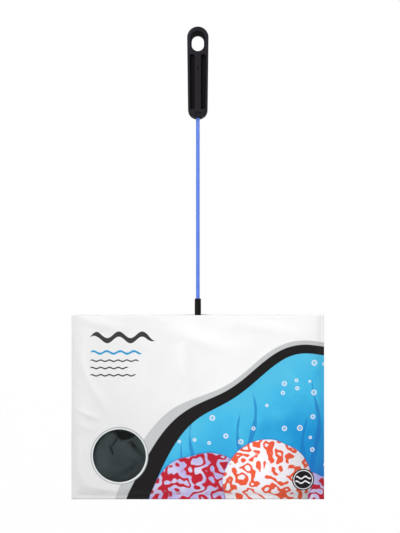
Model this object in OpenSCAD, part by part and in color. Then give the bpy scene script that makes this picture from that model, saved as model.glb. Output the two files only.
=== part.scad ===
// A fish net for an aquarium: a sewn net pocket on a coated wire hoop, a long coated wire shaft and a
// moulded grip. The hoop and its pocket lie folded flat in a printed film bag. The bag is open along its
// top, round the shaft, and slides down off the hoop.
// Lengths are in millimetres. X is to the right, Y to the back and Z up, as the net hangs from its grip.
// The origin is the centre of the hang slot's upper arc, halfway through the grip's thickness.

/* [Grip] */
// Length of the grip from end to end
grip_length = 94; // [86:1:130]
// Width of the grip across its round top end
grip_top_width = 22.2; // [21:0.1:30]
// Width of the grip just above its lower corners
grip_low_width = 20.4; // [19:0.1:26]
// Thickness of the grip from front to back
grip_thickness = 14; // [12:0.5:20]
// Radius that rounds the long edges of the grip
grip_edge_radius = 3; // [1:0.5:5]
// Radius of the two lower corners, seen from the front
grip_corner_radius = 9.3; // [6:0.1:9.5]
// Width of the hang slot
slot_width = 12.8; // [8:0.1:14]
// Length of the hang slot between its round ends
slot_length = 19.4; // [16:0.1:26]
// Wall between the top of the slot and the end of the grip
slot_top_wall = 6.4; // [3:0.1:8]
// Bevel that eases both rims of the slot
slot_bevel = 1.1; // [0.4:0.1:2]
// Width of the rib that holds the wire, between the two channels of a face
rib_width = 6.5; // [6:0.1:9]
// Wall outside each channel
channel_side_wall = 2.4; // [1.5:0.1:3.5]
// Depth of each channel below its face
channel_depth = 5; // [2:0.25:5.5]
// Solid stretch between the slot and the channels
channel_top_wall = 3.5; // [2:0.1:8]
// Solid stretch between the channels and the lower end
channel_low_wall = 8.2; // [6:0.1:16]

/* [Shaft] */
// Length of blue shaft that shows between the grip and the ferrule
shaft_length = 187; // [100:1:400]
// Diameter of the steel core of the shaft
core_diameter = 3; // [2:0.1:3.6]
// Thickness of the coating over the shaft's core
shaft_coat_wall = 0.5; // [0.3:0.05:1]
// Length of coated shaft inside the grip
coat_seat = 12; // [6:0.5:16]
// Length of bare core above it, inside the grip's rib
core_seat = 48; // [20:1:60]

/* [Ferrule] */
// Length of the ferrule that joins the shaft to the hoop
ferrule_length = 22.8; // [16:0.1:40]
// Outer diameter of the ferrule
ferrule_diameter = 6.7; // [6.4:0.1:10]
// Bevel at the ferrule's top end
ferrule_bevel = 1.1; // [0.3:0.1:1.2]
// Wall inside the ferrule between the shaft and the hoop's ends
ferrule_web = 1.2; // [0.8:0.1:3]

/* [Hoop] */
// Width of the coated hoop, outside to outside
hoop_width = 250; // [150:1:300]
// Height of the coated hoop, outside to outside
hoop_height = 168.2; // [120:0.2:240]
// Radius of the hoop's corners along the wire's centre
hoop_corner_radius = 25; // [16:1:40]
// Radius of the two bends at the neck along the wire's centre
neck_bend_radius = 8; // [6:0.5:14]
// Diameter of the hoop's steel wire
wire_diameter = 2.5; // [1.6:0.1:2.8]
// Thickness of the coating over the hoop's wire
hoop_coat_wall = 0.35; // [0.2:0.05:0.8]

/* [Net pocket] */
// Thickness of the cloth binding where it wraps the hoop
hem_wall = 0.6; // [0.4:0.05:1.2]
// Width of the flat tail of the binding that the net is sewn to
tail_width = 8; // [4:0.5:10]
// Thickness of the binding's tail
tail_thickness = 1; // [0.6:0.1:2]
// Thickness of one layer of net
net_thickness = 0.6; // [0.3:0.05:1]
// How far the rear layer of net lies behind the hoop's middle plane
rear_depth = 4; // [3.6:0.1:6]
// Height to which the front layer is folded up, above the lower binding
fold_height = 59; // [40:1:90]
// How far that fold's edge sags in one place, where the cloth is creased
fold_dip = 12; // [0:1:20]
// Radius of the fold along its upper edge, at the middle of the cloth
fold_radius = 1.8; // [1.4:0.1:2.2]
// Height of the pleats that run down the cloth
pleat_height = 1; // [0:0.1:1.2]

/* [Bag] */
// Length of ferrule that shows above the bag
ferrule_showing = 17; // [5:0.5:20]
// Room between the hoop's binding and the side seals
bag_side_room = 3.4; // [2.5:0.1:10]
// Room between the hoop's binding and the bottom seal
bag_low_room = 5.85; // [4:0.05:12]
// Width of the welded seal along each side
side_seal = 2.3; // [1:0.1:8]
// Height of the welded seal along the bottom
bottom_seal = 5; // [2:0.5:12]
// Thickness of the film
film = 0.3; // [0.15:0.05:0.6]
// Half of the space between the two films at the middle of the bag
bag_half_depth = 5.8; // [5.6:0.1:12]
// Distance over which the films open up beside a seal
film_rise = 6.5; // [4:0.1:7]
// Radius of the window's hole in the front film
window_radius = 27.3; // [12:0.1:34]
// Width of the ring on which the window's film is welded
window_weld = 3; // [1:0.5:6]
// Distance of the window's centre from the bag's left edge
window_side = 50.5; // [47:0.1:70]
// Height of the window's centre above the bag's lower edge
window_rise = 46.9; // [45:0.1:90]

/* [Hidden] */
$fn = 64;

// Clearances between pieces that lie one inside the other or one on the other
tube_fit = 0.02;
sewn_gap = 0.05;
// How far a cut runs past the face that it opens
overrun = 1;
// Number of facets of a shape that is only a child of a hull
hull_facets = 32;

// Grip
grip_top_z = slot_width / 2 + slot_top_wall;
grip_low_z = grip_top_z - grip_length;
grip_top_radius = grip_top_width / 2;
grip_top_centre_z = grip_top_z - grip_top_radius;
grip_low_radius = min(grip_corner_radius, grip_low_width / 2 - tube_fit);
grip_low_centre_z = grip_low_z + grip_low_radius;
grip_face_y = grip_thickness / 2;
slot_low_z = slot_width / 2 - slot_length;
channel_top_z = slot_low_z - channel_top_wall;
channel_low_z = grip_low_z + channel_low_wall;
// Share of a channel's width that rounds its upper end
channel_round_share = 0.46;
channel_low_corner = 0.8;
// Small recess in the front face, just above the lower end
recess_width = 6.6;
recess_height = 2.6;
recess_depth = 1.2;
recess_rise = 4;
recess_corner = 0.9;
// Small round mark in the rib, near the top of the channels
mark_radius = 0.8;
mark_depth = 0.6;
mark_drop = 14.1;
// Flared mouth where the shaft enters
mouth_radius = 3.3;
mouth_depth = 2.2;

// Shaft
core_radius = core_diameter / 2;
shaft_radius = core_radius + shaft_coat_wall;
ferrule_top_z = grip_low_z - shaft_length;
ferrule_low_z = ferrule_top_z - ferrule_length;
web_z = (ferrule_top_z + ferrule_low_z) / 2;
shaft_low_z = web_z + ferrule_web / 2;
shaft_coat_top_z = grip_low_z + coat_seat;
core_top_z = shaft_coat_top_z + core_seat;
seat_end_gap = 0.3;

// Hoop
wire_radius = wire_diameter / 2;
coat_radius = wire_radius + hoop_coat_wall;
leg_gap = 0.1;
leg_x = wire_radius + leg_gap / 2;
leg_top_z = web_z - ferrule_web / 2;
rail_x = hoop_width / 2 - coat_radius;
rail_top_z = ferrule_low_z - neck_bend_radius;
rail_low_z = rail_top_z - hoop_height + 2 * coat_radius;
rail_middle_z = (rail_top_z + rail_low_z) / 2;
corner_x = rail_x - hoop_corner_radius;
corner_rise = (rail_top_z - rail_low_z) / 2 - hoop_corner_radius;
neck_x = leg_x + neck_bend_radius;
// The coating starts this far round each neck bend, where the two wires have parted
coat_start_angle = 30;

// Binding
hem_radius = coat_radius + tube_fit + hem_wall;
hem_neck_room = 1;
hem_neck_x = neck_x + hem_neck_room;

// Net
cloth_inset = hem_radius + 1.5;
cloth_half_width = rail_x - cloth_inset;
cloth_corner = hoop_corner_radius - cloth_inset;
cloth_top_z = rail_top_z - cloth_inset;
cloth_low_z = rail_low_z + hem_radius + 2.5;
cloth_edge_y = tail_thickness / 2 + net_thickness / 2 + sewn_gap;
front_low_z = rail_low_z + hem_radius + 1;
// Distance over which the net comes away from the binding it is sewn to
cloth_rise = 4;
// The folded layer is drawn in from the rear layer's edge by this much
fold_inset = 9;
fold_middle_y = -0.6;
fold_dip_width = 13;
// Share of the fold's height that is left at the two sides of the cloth
fold_side_share = 0.5;
// Distance between the two layers' middles where they are sewn together along the pocket's bottom
seam_spacing = 1.9;
seam_rise = 3;
seam_lip = 1.2;
// Room between the binding's tail and the folded layer behind it
tail_room = 0.5;
seam_back_y = tail_thickness / 2 + tail_room + net_thickness / 2 + seam_spacing;
pleat_pitch = 34;
// Numbers of steps across and down one layer of net
cloth_columns = 34;
rear_rows = 12;
fold_arc_steps = 4;
leg_steps = 5;
// Share of evenly spaced columns; the others crowd towards the two sides
even_share = 0.5;

// Bag
bag_seal_x = hoop_width / 2 + hem_wall + bag_side_room;
bag_side_x = bag_seal_x + side_seal;
bag_top_z = ferrule_top_z - ferrule_showing;
bag_seal_z = rail_low_z - hem_radius - bag_low_room;
bag_low_z = bag_seal_z - bottom_seal;
window_x = window_side - bag_side_x;
window_z = bag_low_z + window_rise;
// The fold's edge sags just inside the window
fold_dip_x = window_x + 1.6;
film_steps = 10;
// Power by which the film's steps grow away from a seal
film_step_growth = 2.5;

// Direction of a vector
function unit(v) = v / norm(v);

// Value between a and b
function mix(a, b, share) = a + (b - a) * share;

// Arc that rounds the corner b of the path a, b, c
function corner_arc(a, b, c, radius, steps) =
    let (u = unit(a - b), v = unit(c - b))
    let (half = acos(u * v) / 2)
    let (middle = b + unit(u + v) * radius / sin(half))
    let (p = b + u * radius / tan(half) - middle, q = b + v * radius / tan(half) - middle)
    let (start = atan2(p.y, p.x))
    let (turn = (atan2(q.y, q.x) - start + 360 + 180) % 360 - 180)
    [for (i = [0 : steps]) middle + radius * [cos(start + turn * i / steps), sin(start + turn * i / steps)]];

// Closed outline whose corners are rounded by their own radii
function rounded_outline(corners, radii, steps = 10) =
    let (n = len(corners))
    [for (i = [0 : n - 1])
        each corner_arc(corners[(i + n - 1) % n], corners[i], corners[(i + 1) % n], radii[i], steps)];

// Outline of a slot with round ends, standing along the second axis
function slot_outline(width, low, high, steps = 16) =
    let (r = width / 2)
    concat(
        [for (i = [0 : steps]) [r * cos(180 * i / steps), high - r + r * sin(180 * i / steps)]],
        [for (i = [0 : steps]) [-r * cos(180 * i / steps), low + r - r * sin(180 * i / steps)]]);

// Cuts an outline, drawn in X and Z, from front_y backwards to back_y
module cut_through(front_y, back_y, outline) {
    translate([0, back_y, 0])
        rotate([90, 0, 0])
            linear_extrude(back_y - front_y)
                polygon(outline);
}

// Half-width of the grip at a height
function grip_half_width(z) =
    let (share = (z - grip_low_centre_z) / (grip_top_centre_z - grip_low_centre_z))
    mix(grip_low_width / 2, grip_top_radius, share);

// Disc that lies facing the front, with rounded rims
module grip_disc(radius) {
    edge = min(grip_edge_radius, radius / 2);
    half = grip_thickness / 2;
    rotate([90, 0, 0])
        rotate_extrude($fn = 48)
            polygon(concat(
                [[0, -half]],
                [for (i = [0 : 5]) [radius - edge + edge * sin(18 * i), -half + edge - edge * cos(18 * i)]],
                [for (i = [0 : 5]) [radius - edge + edge * cos(18 * i), half - edge + edge * sin(18 * i)]],
                [[0, half]]));
}

// Body of the grip: one round end above, two round corners below
module grip_body() {
    hull() {
        translate([0, 0, grip_top_centre_z])
            grip_disc(grip_top_radius);
        for (side = [-1, 1])
            translate([side * (grip_low_width / 2 - grip_low_radius), 0, grip_low_centre_z])
                grip_disc(grip_low_radius);
    }
}

// Bevel round one rim of the hang slot; face is -1 for the front and 1 for the back.
// The cutting cone runs on past the slot's wall, so that it crosses that wall.
module slot_rim(face) {
    radius = slot_width / 2;
    hull()
        for (z = [0, slot_low_z + radius])
            translate([0, face * (grip_face_y + overrun), z])
                rotate([face * 90, 0, 0])
                    cylinder(
                        h = slot_bevel + 2 * overrun,
                        r1 = radius + slot_bevel + overrun,
                        r2 = radius - overrun,
                        $fn = hull_facets);
}

// Outline of the channel to the right of the rib
function channel_outline() =
    let (inner = rib_width / 2)
    let (outer_top = grip_half_width(channel_top_z) - channel_side_wall)
    let (outer_low = grip_half_width(channel_low_z) - channel_side_wall)
    let (top_round = (outer_top - inner) * channel_round_share)
    rounded_outline(
        [
            [inner, channel_low_z], [outer_low, channel_low_z],
            [outer_top, channel_top_z], [inner, channel_top_z]
        ],
        [channel_low_corner, channel_low_corner, top_round, top_round]);

// The four channels, two in each face
module channels() {
    for (face = [0, 1], side = [0, 1])
        mirror([0, face, 0])
            mirror([side, 0, 0])
                cut_through(-grip_face_y - overrun, channel_depth - grip_face_y, channel_outline());
}

// Small recess in the front face, above the mouth of the bore
module front_recess() {
    low = grip_low_z + recess_rise - recess_height / 2;
    high = low + recess_height;
    half = recess_width / 2;
    cut_through(-grip_face_y - overrun, recess_depth - grip_face_y,
        rounded_outline(
            [[-half, low], [half, low], [half, high], [-half, high]],
            [recess_corner, recess_corner, recess_corner, recess_corner]));
}

// Bores for the coated shaft and for its bare core, with the flared mouth
module shaft_bores() {
    translate([0, 0, grip_low_z - overrun])
        cylinder(h = coat_seat + overrun + seat_end_gap, r = shaft_radius + tube_fit);
    translate([0, 0, grip_low_z])
        cylinder(h = coat_seat + core_seat + seat_end_gap, r = core_radius + tube_fit);
    slope = (mouth_radius - shaft_radius - tube_fit) / mouth_depth;
    translate([0, 0, grip_low_z - overrun])
        cylinder(
            h = mouth_depth + 2 * overrun,
            r1 = mouth_radius + overrun * slope,
            r2 = shaft_radius + tube_fit - overrun * slope);
}

module grip() {
    color("#26262a")
        difference() {
            grip_body();
            cut_through(-grip_face_y - overrun, grip_face_y + overrun,
                slot_outline(slot_width, slot_low_z, slot_width / 2));
            slot_rim(-1);
            slot_rim(1);
            channels();
            front_recess();
            shaft_bores();
            translate([0, mark_depth - grip_face_y, channel_top_z - mark_drop])
                rotate([90, 0, 0])
                    cylinder(h = mark_depth + overrun, r = mark_radius);
        }
}

module shaft_wire() {
    color("#b9bdc2")
        translate([0, 0, shaft_low_z + seat_end_gap])
            cylinder(h = core_top_z - shaft_low_z - seat_end_gap, r = core_radius);
}

module shaft_coating() {
    color("#5c84e0")
        difference() {
            translate([0, 0, shaft_low_z + seat_end_gap])
                cylinder(h = shaft_coat_top_z - shaft_low_z - seat_end_gap, r = shaft_radius);
            translate([0, 0, shaft_low_z])
                cylinder(h = core_top_z - shaft_low_z, r = core_radius + tube_fit);
        }
}

// Sleeve with a round seat for the shaft above and a flat seat for the hoop's two ends below
module ferrule() {
    radius = ferrule_diameter / 2;
    straight_length = ferrule_length - ferrule_bevel;
    seat_half = leg_x + wire_radius + tube_fit;
    color("#141416")
        difference() {
            translate([0, 0, ferrule_low_z]) {
                cylinder(h = straight_length, r = radius);
                translate([0, 0, straight_length])
                    cylinder(h = ferrule_bevel, r1 = radius, r2 = shaft_radius + tube_fit + seat_end_gap / 2);
            }
            translate([0, 0, shaft_low_z])
                cylinder(h = ferrule_length, r = shaft_radius + tube_fit);
            translate([0, 0, ferrule_low_z - overrun])
                linear_extrude(leg_top_z - ferrule_low_z + overrun)
                    rotate(90)
                        polygon(slot_outline(wire_diameter + 2 * tube_fit, -seat_half, seat_half));
        }
}

// Sweeps a profile round the hoop. Its first axis points out of the hoop and its second one to the back.
// The top rail is open for from_x to each side of the neck. Each stretch starts from a corner's centre, so
// that its ends meet the corners' ends.
module round_hoop(from_x) {
    translate([0, 0, rail_middle_z]) {
        for (side = [0, 1])
            mirror([side, 0, 0]) {
                translate([corner_x, 0, corner_rise])
                    translate([0, 0, hoop_corner_radius])
                        rotate([0, -90, 0])
                            linear_extrude(corner_x - from_x)
                                children();
                translate([corner_x, 0, -corner_rise])
                    translate([hoop_corner_radius, 0, 0])
                        linear_extrude(2 * corner_rise)
                            children();
                for (low = [0, 1])
                    mirror([0, 0, low])
                        translate([corner_x, 0, corner_rise])
                            rotate([90, 0, 0])
                                rotate_extrude(angle = 90)
                                    translate([hoop_corner_radius, 0])
                                        children();
            }
        translate([-corner_x, 0, -corner_rise])
            translate([0, 0, -hoop_corner_radius])
                rotate([0, 90, 0])
                    linear_extrude(2 * corner_x)
                        children();
    }
}

// Moves its children to the centre of each neck bend
module at_neck_bends() {
    for (side = [0, 1])
        mirror([side, 0, 0])
            translate([neck_x, 0, rail_middle_z])
                translate([0, 0, corner_rise])
                    translate([0, 0, hoop_corner_radius])
                        translate([0, 0, neck_bend_radius])
                            children();
}

// Sweeps a round profile along both bends of the neck, from the top rail to an angle short of the legs
module neck_bends(from_angle) {
    at_neck_bends()
        rotate([-90, 0, 0])
            rotate([0, 0, 90])
                rotate_extrude(angle = 90 - from_angle)
                    translate([neck_bend_radius, 0])
                        children();
}

module hoop_wire() {
    color("#b9bdc2") {
        hoop_rod(wire_radius, 0);
        at_neck_bends()
            translate([-neck_bend_radius, 0, 0])
                cylinder(h = leg_top_z - ferrule_low_z - seat_end_gap, r = wire_radius);
    }
}

// Rod of a radius along the hoop and a part of both neck bends
module hoop_rod(radius, from_angle) {
    round_hoop(neck_x)
        circle(r = radius);
    neck_bends(from_angle)
        circle(r = radius);
}

module hoop_coating() {
    color("#5c84e0")
        difference() {
            hoop_rod(coat_radius, coat_start_angle);
            hoop_rod(wire_radius + tube_fit, coat_start_angle / 2);
        }
}

// Section of the binding: wrapped round the coated wire, with both ends sewn flat into one tail
module hem_section() {
    difference() {
        union() {
            circle(r = hem_radius);
            translate([-hem_radius - tail_width, -tail_thickness / 2])
                square([hem_radius + tail_width, tail_thickness]);
        }
        circle(r = coat_radius + tube_fit);
    }
}

module hem() {
    color("#2f3a3d")
        round_hoop(hem_neck_x)
            hem_section();
}

// Triangles of a closed skin between two grids of points, the first of which lies in front
function skin_faces(rows, columns) =
    let (n = rows * columns)
    let (rim = concat(
        [for (j = [0 : columns - 1]) j],
        [for (i = [1 : rows - 1]) i * columns + columns - 1],
        [for (j = [columns - 2 : -1 : 0]) (rows - 1) * columns + j],
        [for (i = [rows - 2 : -1 : 1]) i * columns]))
    concat(
        [for (i = [0 : rows - 2], j = [0 : columns - 2])
            let (a = i * columns + j, b = a + 1, c = b + columns, d = a + columns)
            each [[a, b, c], [a, c, d], [n + a, n + c, n + b], [n + a, n + d, n + c]]],
        [for (k = [0 : len(rim) - 1])
            let (p = rim[k], q = rim[(k + 1) % len(rim)])
            each [[n + p, n + q, q], [n + p, q, p]]]);

// Closed skin between a front grid and a back grid
module skin(front, back) {
    polyhedron(
        points = concat([for (row = front) each row], [for (row = back) each row]),
        faces = skin_faces(len(front), len(front[0])));
}

// Direction across a grid of points at one place, towards the back
function grid_normal(grid, i, j) =
    let (down = grid[min(i + 1, len(grid) - 1)][j] - grid[max(i - 1, 0)][j])
    let (along = grid[i][min(j + 1, len(grid[0]) - 1)] - grid[i][max(j - 1, 0)])
    unit(cross(along, -down)) * -1;

// The grid moved by a distance along its own normals
function shifted(grid, distance) =
    [for (i = [0 : len(grid) - 1]) [for (j = [0 : len(grid[0]) - 1])
        grid[i][j] + distance * grid_normal(grid, i, j)]];

// Sheet of cloth with the grid halfway through its thickness
module cloth(grid) {
    skin(shifted(grid, -net_thickness / 2), shifted(grid, net_thickness / 2));
}

// Places across the cloth from -1 to 1, closer together towards the sides
function cloth_places() =
    [for (j = [0 : cloth_columns])
        let (s = 2 * j / cloth_columns - 1)
        even_share * s + (1 - even_share) * sin(90 * s)];

// How far a sheet has come away from an edge, from 0 to 1, at a distance from that edge
function come_away(distance, reach) = 1 - exp(-max(distance, 0) / reach);

// Half-width at a height of a rounded rectangle whose sides and corners are drawn in from the cloth's edge
function cloth_reach(z, inset) =
    let (r = cloth_corner - inset)
    let (above = max(0, z - (cloth_top_z - cloth_corner)))
    let (below = max(0, rail_low_z + hoop_corner_radius - z))
    let (out = min(r, max(above, below)))
    cloth_half_width - cloth_corner + sqrt(r * r - out * out);

// Wave of the pleats, from 0 to 1
function pleat(x) = (1 - cos(360 * x / pleat_pitch)) / 2;

// Depth of the rear layer's middle at a place of the hoop
function rear_y(x, z) =
    let (side = come_away(cloth_reach(z, 0) - abs(x), cloth_rise))
    let (top = come_away(cloth_top_z - z, cloth_rise))
    let (hang = come_away(cloth_top_z - z, 8 * cloth_rise))
    let (low = come_away(z - cloth_low_z, 2 * cloth_rise))
    let (pleats = pleat_height * pleat(x) * side * hang * low)
    mix(cloth_edge_y, mix(seam_back_y, rear_depth, low), side * top) + pleats;

module net_rear_panel() {
    rows = [for (i = [0 : rear_rows]) mix(cloth_low_z, cloth_top_z, (1 + cos(180 * i / rear_rows)) / 2)];
    color("#3e484b")
        cloth([for (z = rows) [for (u = cloth_places())
            let (x = u * cloth_reach(z, 0))
            [x, rear_y(x, z), z]]]);
}

// Height of the fold's upper edge at a place across the cloth
function fold_z(u) =
    let (x = u * cloth_reach(front_low_z + fold_height, fold_inset))
    let (arch = mix(fold_side_share, 1, 1 - pow(abs(u), 10)))
    front_low_z + fold_height * arch - fold_dip * exp(-pow((x - fold_dip_x) / fold_dip_width, 2));

// Point of the front layer: up from the lower binding, over the fold and down to the pocket's bottom
function front_point(u, leg, share) =
    let (top = fold_z(u) - fold_radius)
    let (angle = 180 * share)
    let (z =
        leg == "fold" ? top + fold_radius * sin(angle)
        : leg == "front" ? mix(front_low_z, top, share)
        : mix(top, cloth_low_z, share))
    let (x = u * cloth_reach(z, fold_inset))
    let (bow = pleat_height * (pleat(x + pleat_pitch / 4) + 1) * sin(angle))
    let (front_y = mix(-cloth_edge_y, fold_middle_y - fold_radius, come_away(z - front_low_z, cloth_rise)))
    let (seam_y = rear_y(x, cloth_low_z) - seam_spacing)
    let (y =
        leg == "fold" ? fold_middle_y - fold_radius * cos(angle)
        : leg == "front" ? front_y - bow
        : mix(fold_middle_y + fold_radius, seam_y, pow(share, 2)))
    [x, y, z];

module net_front_panel() {
    path = concat(
        [for (i = [0 : leg_steps]) ["front", i / leg_steps]],
        [for (i = [1 : fold_arc_steps - 1]) ["fold", i / fold_arc_steps]],
        [for (i = [0 : leg_steps - 1]) ["back", i / (leg_steps - 1)]]);
    color("#465154")
        cloth([for (k = [len(path) - 1 : -1 : 0]) [for (u = cloth_places())
            front_point(u, path[k][0], path[k][1])]]);
}

// Turned edge that holds the two layers together along the bottom of the pocket
module pocket_seam() {
    half = seam_spacing / 2 - net_thickness / 2 - 2 * sewn_gap;
    ends = [cloth_low_z + seam_rise, cloth_low_z - seam_lip];
    middle = [for (z = ends) [for (u = cloth_places())
        let (x = u * cloth_reach(cloth_low_z, fold_inset))
        [x, rear_y(x, cloth_low_z) - seam_spacing / 2, z]]];
    color("#2f3a3d")
        skin(
            [for (row = middle) [for (p = row) p - [0, half, 0]]],
            [for (row = middle) [for (p = row) p + [0, half, 0]]]);
}

// Distances from a seal, growing away from it, over a span
function film_distances(span) = [for (k = [0 : film_steps]) span * pow(k / film_steps, film_step_growth)];

// Half of the space between the films at a place of the bag
function bag_half_gap(x, z) =
    bag_half_depth * come_away(bag_seal_x - abs(x), film_rise) * come_away(z - bag_seal_z, film_rise);

// Places across and down the bag
function bag_columns() =
    let (half = concat([bag_side_x], [for (d = film_distances(bag_seal_x)) bag_seal_x - d]))
    concat([for (x = half) -x], [for (k = [len(half) - 2 : -1 : 0]) half[k]]);
function bag_rows() =
    let (up = concat([bag_low_z], [for (d = film_distances(bag_top_z - bag_seal_z)) bag_seal_z + d]))
    [for (k = [len(up) - 1 : -1 : 0]) up[k]];

// Grid of the film's points on one side of the bag, a distance out from the film's inner face
function film_grid(face, out) =
    [for (z = bag_rows()) [for (x = bag_columns()) [x, face * (bag_half_gap(x, z) + out), z]]];

// Cylinder that runs through the front film round the window's centre
module window_cut(radius) {
    translate([window_x, 0, window_z])
        rotate([90, 0, 0])
            cylinder(h = bag_half_depth + film + overrun, r = radius);
}

module bag_front() {
    color("#e9ecee")
        difference() {
            skin(film_grid(-1, film), film_grid(-1, 0));
            window_cut(window_radius);
        }
}

module bag_back() {
    color("#eef0f1")
        skin(film_grid(1, 0), film_grid(1, film));
}

// Clear film welded behind the hole in the front film
module bag_window() {
    color("#aebbc0")
        intersection() {
            skin(film_grid(-1, -tube_fit), film_grid(-1, -tube_fit - film));
            window_cut(window_radius + window_weld);
        }
}

grip();
shaft_wire();
shaft_coating();
ferrule();
hoop_wire();
hoop_coating();
hem();
net_rear_panel();
net_front_panel();
pocket_seam();
bag_front();
bag_back();
bag_window();
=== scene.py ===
"""Looks of an aquarium fish net in its film bag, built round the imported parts.

Lengths are in millimetres until a mesh or a lamp is made, and then in metres.
X is to the right, Y to the back and Z up, as the net hangs from its grip.
"""

import math

import bmesh
import bpy
import numpy as np
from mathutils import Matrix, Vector


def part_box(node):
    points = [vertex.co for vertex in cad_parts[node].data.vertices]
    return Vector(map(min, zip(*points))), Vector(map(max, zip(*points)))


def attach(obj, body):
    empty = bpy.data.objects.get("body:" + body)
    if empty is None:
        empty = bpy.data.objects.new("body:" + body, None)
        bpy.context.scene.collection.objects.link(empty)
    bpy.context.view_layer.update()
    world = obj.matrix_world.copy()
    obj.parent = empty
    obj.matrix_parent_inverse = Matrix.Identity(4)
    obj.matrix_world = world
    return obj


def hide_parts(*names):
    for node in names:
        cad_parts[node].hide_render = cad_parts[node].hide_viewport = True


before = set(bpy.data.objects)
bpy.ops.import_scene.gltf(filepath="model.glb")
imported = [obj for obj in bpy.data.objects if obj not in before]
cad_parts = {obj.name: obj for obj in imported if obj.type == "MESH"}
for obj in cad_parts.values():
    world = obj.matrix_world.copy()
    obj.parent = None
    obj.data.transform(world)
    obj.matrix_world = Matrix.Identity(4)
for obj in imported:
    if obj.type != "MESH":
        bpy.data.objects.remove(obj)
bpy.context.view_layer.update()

MM = 0.001
TURN = 2 * math.pi
BACK = np.array([0, 1, 0])


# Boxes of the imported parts

def box(node):
    """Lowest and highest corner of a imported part"""
    return [np.array(corner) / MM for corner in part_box(node)]


GRIP_LOW, GRIP_HIGH = box("grip")
SHAFT_LOW, SHAFT_HIGH = box("shaft_coating")
CORE_HIGH = box("shaft_wire")[1]
FERRULE_LOW, FERRULE_HIGH = box("ferrule")
HEM_LOW, HEM_HIGH = box("hem")
BAG_LOW, BAG_HIGH = box("bag_front")
WINDOW_LOW, WINDOW_HIGH = box("bag_window")


# Meshes

def add_object(name, data):
    """New object of the scene"""
    added = bpy.data.objects.new(name, data)
    bpy.context.scene.collection.objects.link(added)
    return added


def new_piece(name, points, faces, materials, uv=None, shade=None):
    """Smooth mesh object at the origin. uv holds a place on the cloth for each point, and shade how much
    shade is painted on the point where it lies in a crease, by a fold or in the pocket, from 0 to 1; below 0
    it is painted paler."""
    mesh = bpy.data.meshes.new(name)
    faces = faces.tolist() if isinstance(faces, np.ndarray) else faces
    mesh.from_pydata((np.asarray(points, float) * MM).tolist(), [], faces)
    if uv is not None:
        corners = np.zeros(len(mesh.loops), np.int32)
        mesh.loops.foreach_get("vertex_index", corners)
        layer = mesh.uv_layers.new(name="cloth")
        layer.data.foreach_set("uv", (np.asarray(uv, float) * MM)[corners].ravel())
    if shade is not None:
        layer = mesh.attributes.new("shade", "FLOAT", "POINT")
        layer.data.foreach_set("value", np.asarray(shade, float).ravel())
    mesh.shade_smooth()
    for material in materials:
        mesh.materials.append(material)
    return add_object(name, mesh)


def settle(piece):
    """Turns the piece with its modifiers into a plain mesh"""
    bpy.context.view_layer.update()
    shown = piece.evaluated_get(bpy.context.evaluated_depsgraph_get())
    mesh = bpy.data.meshes.new_from_object(shown)
    piece.modifiers.clear()
    piece.data = mesh
    return piece


def thicken(piece, thickness, inner_material=0):
    """Gives a sheet its thickness, half to each side"""
    wall = piece.modifiers.new("wall", "SOLIDIFY")
    wall.thickness = thickness * MM
    wall.offset = 0
    wall.use_quality_normals = True
    wall.material_offset = inner_material
    wall.material_offset_rim = inner_material
    return settle(piece)


def grid_faces(rows, columns, wrap=False, flip=False):
    """Quads between the points of a grid; wrap joins each row's end to its start"""
    i, j = np.meshgrid(np.arange(rows - 1), np.arange(columns if wrap else columns - 1), indexing="ij")
    here, right = i * columns + j, i * columns + (j + 1) % columns
    quads = np.stack([here, right, right + columns, here + columns], -1).reshape(-1, 4)
    return quads[:, ::-1] if flip else quads


def face_outwards(piece):
    """Turns the faces of a closed mesh outwards"""
    work = bmesh.new()
    work.from_mesh(piece.data)
    bmesh.ops.recalc_face_normals(work, faces=work.faces)
    work.to_mesh(piece.data)
    work.free()
    return piece


def swept(name, path, out, section, materials, uv=None):
    """Closed mesh along a path in the XZ plane. section(i) gives the outline at a point of the path, outwards
    and to the back."""
    rings = []
    for i, place in enumerate(path):
        outline = section(i)
        rings.append(place + outline[:, :1] * out[i] + outline[:, 1:] * BACK)
    columns = len(rings[0])
    points = np.concatenate(rings + [[rings[0].mean(0)], [rings[-1].mean(0)]])
    faces = grid_faces(len(rings), columns, wrap=True).tolist()
    first, last = len(points) - 2, len(points) - 1
    start = (len(rings) - 1) * columns
    for j in range(columns):
        k = (j + 1) % columns
        faces.append([k, j, first])
        faces.append([start + j, start + k, last])
    return face_outwards(new_piece(name, points, faces, materials, uv))


def lathed(name, profile, sides, materials):
    """Closed ring of a profile of radius and height turned round the Z axis"""
    turns = TURN * np.arange(sides) / sides
    profile = np.asarray(profile, float)
    points = np.stack([
        np.outer(profile[:, 0], np.cos(turns)),
        np.outer(profile[:, 0], np.sin(turns)),
        np.outer(profile[:, 1], np.ones(sides)),
    ], -1).reshape(-1, 3)
    faces = grid_faces(len(profile) + 1, sides, wrap=True) % len(points)
    return face_outwards(new_piece(name, points, faces, materials))


def disc(radii, sides):
    """A flat disc's points from its middle, ring by ring and the middle last, and its faces"""
    turns = TURN * np.arange(sides) / sides
    a = np.append(np.outer(radii, np.cos(turns)), 0)
    b = np.append(np.outer(radii, np.sin(turns)), 0)
    faces = grid_faces(len(radii), sides, wrap=True).tolist()
    return a, b, faces + [[(j + 1) % sides, j, len(a) - 1] for j in range(sides)]


# Solids from distances. Each function gives how far a point lies outside a form, below 0 inside it.

def round_meet(a, b, radius):
    """What two forms share, with the edge between them rounded"""
    corner = np.hypot(np.maximum(radius + a, 0), np.maximum(radius + b, 0))
    return np.minimum(-radius, np.maximum(a, b)) + corner


def both_within(a, b):
    """Distance from what two forms that meet at right angles share"""
    return np.hypot(np.maximum(a, 0), np.maximum(b, 0)) + np.minimum(np.maximum(a, b), 0)


def round_cut(solid, tool, radius):
    """A solid with a tool cut out of it and the new edges rounded"""
    return round_meet(solid, -tool, radius)


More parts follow.
